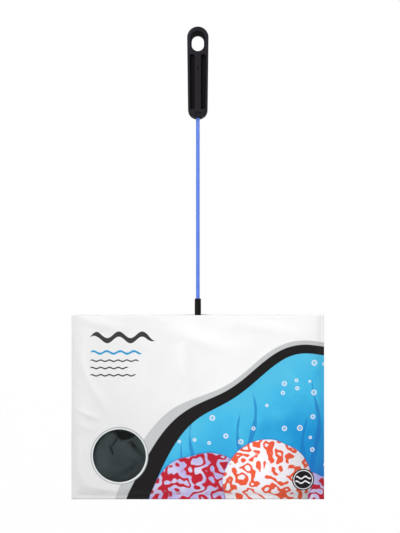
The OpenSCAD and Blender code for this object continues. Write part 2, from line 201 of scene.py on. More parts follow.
def skin_of(distance, low, high, cell):
    """Points and quads of a form's surface, one point for each small cell that the surface crosses"""
    axes = [np.arange(a - 2 * cell, b + 3 * cell, cell) for a, b in zip(low, high)]
    field = distance(*np.meshgrid(*axes, indexing="ij"))
    cells = [n - 1 for n in field.shape]
    total = np.zeros(cells + [3])
    count = np.zeros(cells, int)
    for axis in range(3):
        across = [a for a in range(3) if a != axis]
        for side in range(4):
            start = [0, 0, 0]
            start[across[0]], start[across[1]] = side & 1, side >> 1
            end = list(start)
            end[axis] = 1
            a = field[tuple(slice(s, s + n) for s, n in zip(start, cells))]
            b = field[tuple(slice(s, s + n) for s, n in zip(end, cells))]
            crossing = (a < 0) != (b < 0)
            share = np.where(crossing, a / np.where(crossing, a - b, 1), 0)
            for k in range(3):
                total[..., k] += crossing * (share if k == axis else start[k])
            count += crossing
    used = count > 0
    number = np.full(cells, -1)
    number[used] = np.arange(used.sum())
    corner = np.stack(np.nonzero(used), -1)
    points = (corner + total[used] / count[used][:, None]) * cell + [a[0] for a in axes]
    quads = []
    for axis in range(3):
        u, v = (axis + 1) % 3, (axis + 2) % 3
        inside = field < 0
        a = np.moveaxis(inside, (axis, u, v), (0, 1, 2))
        n = np.moveaxis(number, (axis, u, v), (0, 1, 2))
        leaves = a[:-1, 1:-1, 1:-1] & ~a[1:, 1:-1, 1:-1]
        enters = ~a[:-1, 1:-1, 1:-1] & a[1:, 1:-1, 1:-1]
        round_edge = np.stack([n[:, :-1, :-1], n[:, 1:, :-1], n[:, 1:, 1:], n[:, :-1, 1:]], -1)
        quads.append(round_edge[leaves])
        quads.append(round_edge[enters][:, ::-1])
    step = 0.02 * cell
    for _ in range(4):
        value = distance(*points.T)
        slope = np.stack([
            distance(*(points + step * unit).T) - distance(*(points - step * unit).T) for unit in np.eye(3)
        ], -1) / (2 * step)
        points = points - slope * (value / np.maximum((slope ** 2).sum(-1), 0.25))[:, None]
    return points, np.concatenate(quads)


# Uneven surfaces

def ripples(x, z, seed, count=24, shortest=14, longest=60):
    """Smooth uneven waves, mostly between -1 and 1 and the same for the same seed"""
    draw = np.random.default_rng(seed)
    total = 0 * (x + z)
    power = 0
    for _ in range(count):
        length = draw.uniform(shortest, longest)
        angle, phase = draw.uniform(0, TURN, 2)
        total = total + length * np.sin(TURN * (x * math.cos(angle) + z * math.sin(angle)) / length + phase)
        power += length ** 2 / 2
    return total / (1.6 * math.sqrt(power))


def from_line(x, z, start, end):
    """Where on a line its nearest place lies, from 0 to 1, and how far away that place is"""
    (x0, z0), (x1, z1) = start, end
    dx, dz = x1 - x0, z1 - z0
    near = np.clip(((x - x0) * dx + (z - z0) * dz) / (dx * dx + dz * dz), 0, 1)
    return near, np.hypot(x - x0 - near * dx, z - z0 - near * dz)


def crease(x, z, start, end, width):
    """Ridge of height 1 along a line, with soft sides, that thins out towards both of its ends"""
    near, away = from_line(x, z, start, end)
    share = CREASE_END + (1 - CREASE_END) * np.sqrt(4 * near * (1 - near))
    return share * np.exp(-(away / (width * share)) ** 2)


def soft_fold(x, z, start, end, width):
    """Ridge that bends a little and dies out towards both of its ends"""
    near, away = from_line(x + FOLD_BEND * np.sin(TURN * z / FOLD_BEND_LENGTH), z, start, end)
    return 4 * near * (1 - near) * np.exp(-(away / width) ** 2)


def come_away(distance, reach):
    """How far a sheet has come away from an edge, from 0 to 1"""
    return 1 - np.exp(-np.maximum(distance, 0) / reach)


# Node trees

def light_of(red, green, blue):
    """Linear colour of a screen colour of 0 to 255"""
    shares = [c / 255 for c in (red, green, blue)]
    return tuple(s / 12.92 if s <= 0.04045 else ((s + 0.055) / 1.055) ** 2.4 for s in shares) + (1,)


def add_node(tree, kind, inputs=None, **settings):
    """New node with its settings, and with its inputs linked to fields or sockets, or set to values"""
    node = tree.nodes.new(kind)
    for name, value in settings.items():
        setattr(node, name, value)
    for key, value in (inputs or {}).items():
        if isinstance(value, Field):
            value = value.socket
        if isinstance(value, bpy.types.NodeSocket):
            tree.links.new(value, node.inputs[key])
        else:
            node.inputs[key].default_value = value
    return node


def node_field(tree, kind, inputs=None, output=0, **settings):
    """Field that a new node gives"""
    return Field(tree, add_node(tree, kind, inputs, **settings).outputs[output])


class Field:
    """Value that changes over a surface. It is a socket of a node tree that can be used like a number."""

    def __init__(self, tree, socket):
        self.tree = tree
        self.socket = socket

    def math(self, operation, *others, first=None):
        values = [self, *others] if first is None else [first, self]
        return node_field(self.tree, "ShaderNodeMath", dict(enumerate(values)), operation=operation)

    def __add__(self, other):
        return self.math("ADD", other)

    def __mul__(self, other):
        return self.math("MULTIPLY", other)

    def __sub__(self, other):
        return self.math("SUBTRACT", other)

    def __rsub__(self, other):
        return self.math("SUBTRACT", first=other)

    def __truediv__(self, other):
        return self.math("DIVIDE", other)

    __radd__ = __add__
    __rmul__ = __mul__

    def sin(self):
        return self.math("SINE")

    def cos(self):
        return self.math("COSINE")

    def exp(self):
        return self.math("EXPONENT")

    def abs(self):
        return self.math("ABSOLUTE")

    def hypot(self, other):
        return (self * self + other * other).math("SQRT")

    def least(self, other):
        return self.math("MINIMUM", other)

    def most(self, other):
        return self.math("MAXIMUM", other)

    def over(self, edge, soft):
        """0 below the edge and 1 above it"""
        terms = {0: (self - edge) / soft, 1: 0.5}
        return node_field(self.tree, "ShaderNodeMath", terms, operation="ADD", use_clamp=True)

    def under(self, edge, soft):
        """1 below the edge and 0 above it"""
        return 1 - self.over(edge, soft)


def coordinates(tree, output="Object"):
    """Where a point lies on its piece, in metres"""
    return node_field(tree, "ShaderNodeTexCoord", output=output)


def parts_of(place):
    """The three parts of a place, in millimetres"""
    node = add_node(place.tree, "ShaderNodeSeparateXYZ", {0: place})
    return [Field(place.tree, socket) * (1 / MM) for socket in node.outputs]


def noise(place, size, detail=2.0, roughness=0.5, stretch=(1, 1, 1)):
    """Uneven value from 0 to 1 with spots of about the size"""
    scale = [s / (size * MM) for s in stretch]
    scaled = node_field(place.tree, "ShaderNodeMapping", {0: place, "Scale": scale})
    inputs = {"Vector": scaled, "Scale": 1.0, "Detail": detail, "Roughness": roughness}
    return node_field(place.tree, "ShaderNodeTexNoise", inputs)


def blend_colour(share, a, b):
    """Colour a where the share is 0 and b where it is 1"""
    return node_field(share.tree, "ShaderNodeMix", {0: share, 6: a, 7: b}, output=2, data_type="RGBA")


def scale_colour(colour, factor):
    """The colour times a value"""
    return node_field(factor.tree, "ShaderNodeVectorMath", {0: colour, 3: factor}, operation="SCALE")


def new_group(name, inputs, outputs, kind="Shader"):
    """Node group with its input fields"""
    tree = bpy.data.node_groups.new(name, kind + "NodeTree")
    for way, sockets in (("INPUT", inputs), ("OUTPUT", outputs)):
        for label, kind in sockets.items():
            tree.interface.new_socket(label, in_out=way, socket_type="NodeSocket" + kind)
    start = tree.nodes.new("NodeGroupInput")
    return tree, {label: Field(tree, start.outputs[label]) for label in inputs}


def close_group(tree, **results):
    """Links a group's results to its outputs"""
    end = tree.nodes.new("NodeGroupOutput")
    for label, field in results.items():
        tree.links.new(field.socket, end.inputs[label])
    return tree


def use_group(tree, group, **inputs):
    """Places a group in a material and gives its outputs as fields"""
    node = add_node(tree, "ShaderNodeGroup", inputs, node_tree=group)
    return {socket.name: Field(tree, socket) for socket in node.outputs}


def shader_input(material, label):
    return material.node_tree.nodes["Principled BSDF"].inputs[label.replace("_", " ")]


def new_material(name, **even):
    """Material with one Principled shader. The even values are set on the shader's own sockets."""
    material = bpy.data.materials.new(name)
    material.use_nodes = True
    for label, value in even.items():
        shader_input(material, label).default_value = value
    return material, material.node_tree


def connect(material, **fields):
    """Links fields to the shader's sockets"""
    for label, field in fields.items():
        field.tree.links.new(field.socket, shader_input(material, label))
    return material


def bump(height, distance, strength=1.0):
    """Normal of a surface whose height of 0 to 1 stands for a distance"""
    inputs = {"Height": height, "Distance": distance * MM, "Strength": strength}
    return node_field(height.tree, "ShaderNodeBump", inputs)


# Sizes of the bag that its film, its print and its mesh share

SIDE_SEAL = 2.3
LOW_SEAL = 5.0
SEAL_LINE_PITCH = 1.25
SEAL_EDGE = 0.4
WINDOW_X, _, WINDOW_Z = (WINDOW_LOW + WINDOW_HIGH) / 2
WINDOW_WELD = 3.0
WINDOW_DISC = (WINDOW_HIGH[0] - WINDOW_LOW[0]) / 2
WINDOW_HOLE = WINDOW_DISC - WINDOW_WELD

# Folds that stand out from a film: start and end on the bag from its lower left corner, half width and height
FRONT_FOLDS = [
    ((8, 162), (48, 74), 7.5, 1.1),
    ((112, 164), (130, 114), 6, 0.9),
    ((74, 144), (104, 94), 8, 0.6),
    ((0, 96), (28, 84), 3.2, 0.7),
    ((0, 80), (24, 73), 3, 0.4),
    ((6, 66), (18, 12), 5.5, 0.8),
    ((18, 16), (56, 7), 4, 0.5),
    ((-4, 192), (56, 176), 5.5, 0.8),
    ((82, 193), (96, 182), 2.6, 0.4),
    ((80, 186), (190, 148), 8.5, 1.0),
    ((150, 188), (250, 170), 7, 0.6),
    ((192, 70), (216, 0), 7, 0.6),
    ((148, 100), (170, 36), 7, 0.5),
    ((230, 136), (256, 86), 6, 0.6),
]

BACK_FOLDS = [
    ((30, 158), (106, 112), 7, 0.9),
    ((116, 110), (156, 30), 7.5, 0.9),
    ((190, 150), (240, 86), 7, 0.8),
    ((10, 66), (66, 20), 6, 0.7),
    ((208, 44), (262, 26), 5, 0.6),
    ((140, 180), (226, 160), 7, 0.7),
    ((0, 116), (36, 102), 4, 0.6),
]

# How far the folds bend sideways, the length of the bends, what the material adds to height, and the painted
# light that it adds to the tint along the folds
FOLD_BEND = 4
FOLD_BEND_LENGTH = 105
FOLD_HEIGHT_SHARE = 0.9
FOLD_PAINTED_LIGHT = 0.035


# Effects that more than one material uses

SKIN_OUTPUTS = {"Height": "Float", "Tint": "Float", "Gloss": "Float"}


def plastic_grain_group():
    """Fine unevenness of moulded or dipped plastic, and a slow change of tint along it"""
    tree, given = new_group("plastic_grain", {"Place": "Vector", "Grain": "Float"}, SKIN_OUTPUTS)
    place = given["Place"]
    fine = noise(place, 0.5, 3.0, 0.6)
    slow = noise(place, 9, 2.0)
    scuff = noise(place, 2.2, 4.0, 0.7, (1, 1, 0.25))
    height = fine * given["Grain"] + slow * 0.3
    return close_group(tree, Height=height, Tint=0.9 + slow * 0.2, Gloss=(scuff - 0.5) * 0.22)


def weave_group():
    """Plain weave of a binding tape: height and tint, from a place along and across the cloth. The tint has
    painted shade where the threads lie low, made uneven by fraying.
    """
    tree, given = new_group(
        "weave", {"Place": "Vector", "Pitch": "Float"}, {"Height": "Float", "Tint": "Float"})
    u, v, _ = parts_of(given["Place"])
    across = (u / given["Pitch"] * TURN).sin()
    along = (v / given["Pitch"] * TURN).sin()
    raised = across * along * 0.5 + 0.5
    fray = noise(given["Place"], 0.8, 3.0, 0.7)
    height = raised * 0.7 + fray * 0.5
    # Painted shade: the tint is darker where the threads lie low; the fray makes it uneven
    return close_group(tree, Height=height, Tint=0.72 + raised * 0.3 + fray * 0.25)


def knit_group():
    """Fine knitted net: where its thread is, the thread's height, and a tint with painted shade where the
    thread lies low
    """
    tree, given = new_group(
        "knit", {"Place": "Vector", "Pitch": "Float", "Open": "Float"},
        {"Thread": "Float", "Height": "Float", "Tint": "Float"})
    u, v, _ = parts_of(given["Place"])
    sway = (noise(given["Place"], 6, 1.0) - 0.5) * 0.6
    slant = TURN / math.sqrt(2)
    a = ((u + v + sway) / given["Pitch"] * slant).cos()
    b = ((u - v + sway) / given["Pitch"] * slant).cos()
    rise = (a + b) * 0.25 + 0.5
    thread = rise.over(given["Open"], 0.12)
    # Painted shade: the tint is darker where the thread lies low
    return close_group(tree, Thread=thread, Height=rise, Tint=0.7 + rise * 0.5)


def soft_fold_field(x, z, start, end, width):
    """Field of the ridge that soft_fold gives"""
    (x0, z0), (x1, z1) = start, end
    dx, dz = x1 - x0, z1 - z0
    bent = x + (z * (TURN / FOLD_BEND_LENGTH)).sin() * FOLD_BEND
    along = ((bent - x0) * dx + (z - z0) * dz) / (dx * dx + dz * dz)
    near = along.most(0).least(1)
    away = (bent - x0 - near * dx).hypot(z - z0 - near * dz) / width
    return near * (1 - near) * 4 * (away * away * -1).exp()


def on_bag(x, z):
    """Place on the bag from its lower left corner"""
    return x - float(BAG_LOW[0]), z - float(BAG_LOW[2])


def film_group(name, folds):
    """Soft crinkle of thin film, its folds, and the fine lines pressed into its welded seals. Its tint has
    painted light where the crinkle is high and along the folds' ridges.
    """
    tree, given = new_group(name, {"Place": "Vector"}, SKIN_OUTPUTS)
    x, _, z = parts_of(given["Place"])
    slanted = node_field(tree, "ShaderNodeCombineXYZ", {0: (x + z * 0.5) * MM, 2: (z - x * 0.3) * MM})
    soft = noise(slanted, 38, 3.0, 0.42, (1, 1, 0.6))
    fold = noise(slanted, 46, 1.5, 0.4, (1.2, 1, 0.45))
    fine = noise(given["Place"], 7, 2.0, 0.5)
    ridge = ((fold - 0.5).abs() * -8).exp()
    bx, bz = on_bag(x, z)
    side = (BAG_HIGH[0] - x.abs()).under(SIDE_SEAL, SEAL_EDGE)
    low = bz.under(LOW_SEAL, SEAL_EDGE)
    lines = (x / SEAL_LINE_PITCH * TURN).sin() * side + (z / SEAL_LINE_PITCH * TURN).sin() * low
    height = soft + ridge * 0.2 + fine * 0.04 + lines * 0.03
    ridges = 0
    for start, end, width, rise in folds:
        ridges = ridges + soft_fold_field(bx, bz, start, end, width) * rise
    height = height + ridges * FOLD_HEIGHT_SHARE
    # Painted light: the tint gets lighter with the crinkle's height and along the folds' ridges; the seals
    # are a little greyer
    tint = 0.975 + soft * 0.03 - side.most(low) * 0.02 + ridges * FOLD_PAINTED_LIGHT
    return close_group(tree, Height=height, Tint=tint, Gloss=(soft - 0.5) * 0.12)


# Print of the bag. Places on it are measured from the bag's lower left corner.

INK = {
    "film": light_of(246, 246, 246),
    # Painted shade of the white film towards its lower left
    "film_painted_shade": light_of(224, 224, 224),
    "ring": light_of(226, 229, 230),
    "ring_edge": light_of(158, 162, 165),
    "silver": light_of(196, 198, 200),
    "black": light_of(15, 11, 12),
    "grey": light_of(52, 52, 54),
    "cyan": light_of(28, 150, 205),
    "water_high": light_of(108, 204, 228),
    "water_middle": light_of(22, 176, 232),
    "water_low": light_of(26, 92, 178),
    "kelp": light_of(18, 110, 190),
    "red": light_of(190, 28, 48),
    "orange": light_of(240, 92, 58),
    "lilac": light_of(172, 162, 222),
    "white": light_of(246, 244, 250),
}

# The wave that divides the film from the picture: start, height, run, swell and the swell's length
WAVE_START = 80
WAVE_HEIGHT = 165
WAVE_RUN = 75
WAVE_SWELL = 8
WAVE_SWELL_LENGTH = 120

# The band along the wave: width of its black and its silver stripe, and how it gets wider to the left
BLACK_WIDTH = 8.5
SILVER_WIDTH = 4
TAPER_RUN = 60
TAPER_MOST = 1.4

# Bubbles: one or none in each cell of this size, the share of cells without one, and the width of a rim
BUBBLE_CELL = 15
BUBBLE_SHARE = 0.55
BUBBLE_RIM = 0.45

# Coral heads in the picture: middle, radius, the size of their furrows and the colour between them
CORALS = [
    ((232, -22), 54, 12.5, "lilac", "red"),
    ((140, -10), 60, 13, "lilac", "red"),
    ((203, 18), 46, 12, "white", "orange"),
]

# Kelp blades: place along the bag's lower edge, height of the tip, and lean
KELP = [(118, 62, 1.2), (127, 84, 0.2), (176, 96, 0.0), (187, 118, 1.7), (243, 92, 0.8), (253, 126, 2.6)]

# The blades' sway and how fast it turns, how fast they get wider below the tip, and their most half-width
KELP_SWAY = 4
KELP_SWAY_REACH = 15
KELP_GROWTH = 0.055
KELP_HALF = 2.6

# Strokes at the upper left: height, left and right end, half thickness, swing, wave length and ink
STROKES = [
    (169, 20, 87, 2.7, 3.4, 24, "grey"),
    (153.5, 20, 74, 1.1, 1.3, 14, "cyan"),
    (145, 20, 71, 0.7, 0.7, 9, "black"),
    (137.5, 20, 60, 0.7, 0.7, 9, "black"),
    (130, 20, 68, 0.7, 0.7, 9, "black"),
]

ROUNDEL_MIDDLE = (240, 22)
ROUNDEL_RADIUS = 11.5
ROUNDEL_RING_INSET = 1.7
ROUNDEL_WAVE_INSET = 3.4
ROUNDEL_WAVE_DROP = 2.4
ROUNDEL_WAVE_LENGTH = 9
RING_WIDTH = 2.5
RING_EDGE = 0.8
PRINT_EDGE = 0.5


def with_kelp(colour, x, z):
    """Adds slim darker blades that sway"""
    for start, tip, lean in KELP:
        middle = start + (z / KELP_SWAY_REACH + lean).sin() * KELP_SWAY
        half = ((tip - z) * KELP_GROWTH).least(KELP_HALF) + (z / 4 + lean).sin() * 0.35
        blade = ((x - middle).abs() - half).under(0, PRINT_EDGE) * (tip - z).over(0, 6)
        colour = blend_colour(blade * 0.6, colour, INK["kelp"])
    return colour


def with_bubbles(colour, x, z):
    """Adds bubbles of uneven sizes"""
    flat = node_field(x.tree, "ShaderNodeCombineXYZ", {0: x / BUBBLE_CELL, 1: z / BUBBLE_CELL})
    cells = add_node(
        x.tree, "ShaderNodeTexVoronoi", {"Vector": flat, "Scale": 1.0, "Randomness": 0.8},
        voronoi_dimensions="2D")
    away = Field(x.tree, cells.outputs["Distance"]) * BUBBLE_CELL
    chance = node_field(x.tree, "ShaderNodeSeparateColor", {0: cells.outputs["Color"]})
    here = chance.over(BUBBLE_SHARE, 0.01)
    radius = here * (chance * 4.4 - 1.2)
    bubble = away.under(radius, PRINT_EDGE)
    rim = (away - radius * 0.82).abs().under(BUBBLE_RIM, PRINT_EDGE) * here
    for share in (bubble * 0.25, rim * 0.8):
        colour = blend_colour(share, colour, INK["white"])
    return colour


def with_corals(colour, place, x, z):
    """Adds coral heads with winding furrows"""
    for number, ((cx, cz), size, furrow, between, stripe) in enumerate(CORALS):
        dx, dz = x - cx, z - cz
        lumps = (noise(place, 22 + 3 * number, 1.0) - 0.5) * 0.12
        reach = dx.hypot(dz) / size + lumps
        furrows = (noise(place, furrow, 1.2, 0.4) * 26 + reach * 5).sin()
        from_light = (dx + 0.3 * size).hypot(dz - 0.45 * size) / size
        lit = 1.06 - from_light * from_light * 0.28
        head = blend_colour(noise(place, 18, 1.0).over(0.5, 0.5) * 0.6, INK[between], INK["white"])
        head = blend_colour(furrows.over(0.15, 0.5), head, INK[stripe])
        colour = blend_colour(reach.under(1.02, 0.03) * 0.5, colour, INK["water_low"])
        colour = blend_colour(reach.under(1, 0.01), colour, scale_colour(head, lit))
    return colour


def with_roundel(colour, x, z):
    """Adds a plain roundel with two waves"""
    dx, dz = x - ROUNDEL_MIDDLE[0], z - ROUNDEL_MIDDLE[1]
    out = dx.hypot(dz)
    ring = (out - (ROUNDEL_RADIUS - ROUNDEL_RING_INSET)).abs().under(0.4, PRINT_EDGE)
    inside = out.under(ROUNDEL_RADIUS - ROUNDEL_WAVE_INSET, PRINT_EDGE)
    swing = (dx * (TURN / ROUNDEL_WAVE_LENGTH)).sin() * 1.1
    for drop in (-ROUNDEL_WAVE_DROP, ROUNDEL_WAVE_DROP):
        ring = ring.most((dz - drop - swing).abs().under(0.75, PRINT_EDGE) * inside)
    colour = blend_colour(out.under(ROUNDEL_RADIUS, PRINT_EDGE), colour, INK["black"])
    return blend_colour(ring, colour, INK["white"])


def print_group():
    """Colour of the bag's front: white film with painted shade towards its lower left, a wave-shaped band,
    and a reef under water
    """
    tree, given = new_group("bag_print", {"Place": "Vector"}, {"Color": "Color", "Ink": "Float"})
    place = given["Place"]
    x, _, z = parts_of(place)
    x, z = on_bag(x, z)

    # Water, lighter near the surface, and what is in it
    deep = (x * 0.45 - z * 0.9 + 20) / 150 + (noise(place, 30, 3.0, 0.5) - 0.5) * 0.5
    colour = blend_colour(deep.over(0, 1), INK["water_high"], INK["water_middle"])
    colour = blend_colour(deep.over(0.55, 0.8), colour, INK["water_low"])
    colour = with_kelp(colour, x, z)
    colour = with_bubbles(colour, x, z)
    colour = with_corals(colour, place, x, z)
    colour = with_roundel(colour, x, z)

    # The band and the white film over the picture
    decay = ((WAVE_START - x) / WAVE_RUN).exp()
    swing = (x - WAVE_START) * (TURN / WAVE_SWELL_LENGTH)
    height = WAVE_HEIGHT * (1 - decay) + swing.sin() * WAVE_SWELL
    slope = decay * (WAVE_HEIGHT / WAVE_RUN) + swing.cos() * (WAVE_SWELL * TURN / WAVE_SWELL_LENGTH)
    above = (z - height) / (slope * slope + 1).math("SQRT")
    widening = ((WAVE_START - x) / TAPER_RUN).exp().least(TAPER_MOST) + 1
    colour = blend_colour(above.over(0, PRINT_EDGE), colour, INK["black"])
    silver = above.over(widening * BLACK_WIDTH, PRINT_EDGE)
    colour = blend_colour(silver, colour, INK["silver"])
    bare = above.over(widening * (BLACK_WIDTH + SILVER_WIDTH), PRINT_EDGE)
    # Painted shade: the white film is darker towards its lower left
    pale = (x / 170 + z / 380 + (noise(place, 70, 2.0) - 0.5) * 0.5).over(0.75, 1.1)
    colour = blend_colour(bare, colour, blend_colour(pale, INK["film_painted_shade"], INK["film"]))
    ink = 1 - bare

    # Strokes at the upper left
    for level, left, right, half, rise, length, name in STROKES:
        line = (z - level - ((x - left) * (TURN / length)).sin() * rise).abs()
        ends = (x - left).least(right - x)
        stroke = (line - (ends * 0.35).least(half)).under(0, PRINT_EDGE) * ends.over(0, PRINT_EDGE)
        colour = blend_colour(stroke, colour, INK[name])
        ink = ink.most(stroke)

    # Ring round the window
    wx, wz = on_bag(WINDOW_X, WINDOW_Z)
    out = (x - float(wx)).hypot(z - float(wz))
    rim = WINDOW_HOLE + RING_WIDTH
    colour = blend_colour(out.under(rim, PRINT_EDGE), colour, INK["ring_edge"])
    colour = blend_colour(out.under(rim - RING_EDGE, PRINT_EDGE), colour, INK["ring"])
    return close_group(tree, Color=colour, Ink=ink * out.over(rim, PRINT_EDGE))


PLASTIC_GRAIN = plastic_grain_group()
WEAVE = weave_group()
KNIT = knit_group()
FRONT_CRINKLE = film_group("front_crinkle", FRONT_FOLDS)
BACK_CRINKLE = film_group("back_crinkle", BACK_FOLDS)
BAG_PRINT = print_group()


# Sizes of the grip that its plastic and its mesh share

GRIP_EDGE = 3.0
GRIP_LOW_RADIUS = 9.3
GRIP_LOW_HALF = 10.2
SLOT_RADIUS = 6.4
SLOT_LOW_CENTRE = -6.6
SLOT_RIM = 1.3
RIB_HALF = 3.25
CHANNEL_WALL = 2.4
CHANNEL_DEPTH = 5.0
CHANNEL_TOP = -16.5
CHANNEL_LOW = GRIP_LOW[2] + 8.2
CHANNEL_ROUND_TOP = 2.4
CHANNEL_ROUND_LOW = 0.8
CHANNEL_ROUND_FLOOR = 0.6
MOULD_EDGE = 0.45
RECESS_HALF = (3.3, 1.3)
RECESS_CORNER = 0.9
RECESS_DEPTH = 1.2
RECESS_ROUND = 0.3
RECESS_HEIGHT = GRIP_LOW[2] + 4
MARK_HEIGHT = CHANNEL_TOP - 14.1
MARK_RADIUS = 0.8
MARK_DEPTH = 0.6
MARK_ROUND = 0.2
MOUTH_RADIUS = 3.3
MOUTH_DEPTH = 2.2
MOUTH_ROUND = 0.4
BORE_FIT = 0.02
SEAT_GAP = 0.3
TOP_RADIUS = float(GRIP_HIGH[0])
TOP_CENTRE = float(GRIP_HIGH[2]) - TOP_RADIUS
LOW_CENTRE = float(GRIP_LOW[2]) + GRIP_LOW_RADIUS
GRIP_TAPER = (TOP_RADIUS - GRIP_LOW_HALF) / (TOP_CENTRE - LOW_CENTRE)


# Materials. How much shade is painted on the grip where little light comes: at most, in a channel, and at its
# walls besides.

GRIP_SHADE = 0.8
CHANNEL_SHADE = 0.15
WALL_SHADE = 0.75


def grip_plastic():
    material, tree = new_material("grip_plastic", Specular_IOR_Level=0.06)
    place = coordinates(tree)
    grain = use_group(tree, PLASTIC_GRAIN, Place=place, Grain=0.3)
    dust = noise(place, 14, 4.0, 0.65).over(0.56, 0.3) * 0.35
    black = scale_colour((0.0170, 0.0146, 0.0196), grain["Tint"])
    black = blend_colour(dust, black, (0.026, 0.025, 0.027, 1))

    # Painted shade: the slot's wall, the channels, the feet of the channels' walls and the small mark are
    # darkened in the colour, where they get less light
    x, y, z = parts_of(place)
    from_slot = x.hypot(z - z.most(SLOT_LOW_CENTRE).least(0))
    slot_wall = from_slot.under(SLOT_RADIUS + SLOT_RIM * 0.8, 0.8)
    sunk = y.abs().under(float(GRIP_HIGH[1]) - 1.5, 1.5) * z.under(CHANNEL_TOP, 1) * x.abs().under(9, 0.5)
    outer_wall = GRIP_LOW_HALF - CHANNEL_WALL + (z - LOW_CENTRE) * GRIP_TAPER
    foot = (x.abs() - RIB_HALF).abs().least((x.abs() - outer_wall).abs()).under(0.7, 0.8)
    mark = x.hypot(z - MARK_HEIGHT).under(MARK_RADIUS + 0.2, 0.4) * (0 - y).over(float(GRIP_HIGH[1]) - 1, 1)
    shade = slot_wall.most(sunk * (CHANNEL_SHADE + foot * WALL_SHADE)).most(mark)
    return connect(
        material,
        Base_Color=scale_colour(black, 1 - shade * GRIP_SHADE),
        Roughness=0.46 + grain["Gloss"] + dust * 0.2 + shade * 0.3,
        Normal=bump(grain["Height"], 0.05))


def blue_coating():
    material, tree = new_material("blue_coating", Coat_Roughness=0.16, Specular_IOR_Level=0.25)
    grain = use_group(tree, PLASTIC_GRAIN, Place=coordinates(tree), Grain=0.12)
    return connect(
        material,
        Base_Color=scale_colour((0.105, 0.215, 0.78), grain["Tint"]),
        Roughness=0.34 + grain["Gloss"],
        Coat_Weight=0.15 + grain["Gloss"] * 0.5,
        Normal=bump(grain["Height"], 0.05))


def ferrule_plastic():
    material, tree = new_material("ferrule_plastic", Specular_IOR_Level=0.12)
    grain = use_group(tree, PLASTIC_GRAIN, Place=coordinates(tree), Grain=0.08)
    return connect(
        material,
        Base_Color=scale_colour((0.0040, 0.0030, 0.0024), grain["Tint"]),
        Roughness=0.22 + grain["Gloss"] * 0.6,
        Normal=bump(grain["Height"], 0.04))


def steel_wire():
    material, tree = new_material("steel_wire", Metallic=1.0)
    drawn = noise(coordinates(tree), 0.4, 4.0, 0.7, (1, 1, 0.05))
    return connect(
        material,
        Base_Color=scale_colour((0.56, 0.57, 0.59), 0.85 + drawn * 0.3),
        Roughness=0.24 + drawn * 0.22,
        Normal=bump(drawn, 0.02))


def binding_cloth():
    material, tree = new_material(
        "binding_cloth", Specular_IOR_Level=0.25, Sheen_Weight=0.25, Sheen_Roughness=0.5)
    weave = use_group(tree, WEAVE, Place=coordinates(tree, "UV"), Pitch=0.9)
    wear = noise(coordinates(tree), 12, 3.0) * 0.3 + 0.85
    return connect(
        material,
        Base_Color=scale_colour((0.026, 0.036, 0.040), weave["Tint"] * wear),
        Roughness=0.94 - weave["Height"] * 0.14,
        Normal=bump(weave["Height"], 0.18, 0.7))


def net_cloth():
    material, tree = new_material(
        "net_cloth", Specular_IOR_Level=0.05, Sheen_Weight=0.05, Sheen_Roughness=0.45)
    knit = use_group(tree, KNIT, Place=coordinates(tree, "UV"), Pitch=0.95, Open=0.08)
    slow = noise(coordinates(tree), 25, 3.0) * 0.25 + 0.88
    # Painted shade from the pieces' shade attribute: darker in creases, by the fold's edge and in the pocket,
    # paler on ridges; where it is deep the holes are closed too
    shade = node_field(tree, "ShaderNodeAttribute", output="Fac", attribute_name="shade")
    return connect(
        material,
        Base_Color=scale_colour((0.046, 0.060, 0.064), knit["Tint"] * slow * (1 - shade * 0.93)),
        Roughness=0.9 - knit["Height"] * 0.2,
        Alpha=knit["Thread"].most(shade),
        Normal=bump(knit["Height"], 0.16, 0.6))


def thread():
    material, tree = new_material("thread", Specular_IOR_Level=0.3, Sheen_Weight=0.3)
    place = coordinates(tree)
    twist = noise(place, 0.35, 3.0, 0.7)
    return connect(
        material,
        Base_Color=scale_colour((0.020, 0.026, 0.028), 0.6 + twist * 0.9),
        Roughness=0.6 + twist * 0.3,
        Normal=bump(twist, 0.06))


def printed_film():
    material, tree = new_material("printed_film", Specular_IOR_Level=0.17)
    place = coordinates(tree)
    film = use_group(tree, FRONT_CRINKLE, Place=place)
    print_on = use_group(tree, BAG_PRINT, Place=place)
    return connect(
        material,
        Base_Color=scale_colour(print_on["Color"], film["Tint"]),
        Roughness=0.32 + film["Gloss"] + print_on["Ink"] * 0.1,
        Normal=bump(film["Height"], 1.6))


def white_film():
    material, tree = new_material("white_film", Specular_IOR_Level=0.42)
    film = use_group(tree, BACK_CRINKLE, Place=coordinates(tree))
    return connect(
        material,
        Base_Color=scale_colour(INK["film"][:3], film["Tint"]),
        Roughness=0.36 + film["Gloss"],
        Normal=bump(film["Height"], 1.6))


def clear_film():
    material, tree = new_material("clear_film", Roughness=0.12, Specular_IOR_Level=0.5)
    film = use_group(tree, FRONT_CRINKLE, Place=coordinates(tree))
    return connect(
        material,
        Base_Color=scale_colour((0.03, 0.036, 0.038), film["Tint"]),
        Alpha=0.04 + film["Tint"] * 0.03,
        Normal=bump(film["Height"], 0.3))


GRIP_PLASTIC = grip_plastic()
BLUE_COATING = blue_coating()
FERRULE_PLASTIC = ferrule_plastic()
STEEL_WIRE = steel_wire()
BINDING_CLOTH = binding_cloth()
NET_CLOTH = net_cloth()
THREAD = thread()
PRINTED_FILM = printed_film()
WHITE_FILM = white_film()
CLEAR_FILM = clear_film()


# Grip

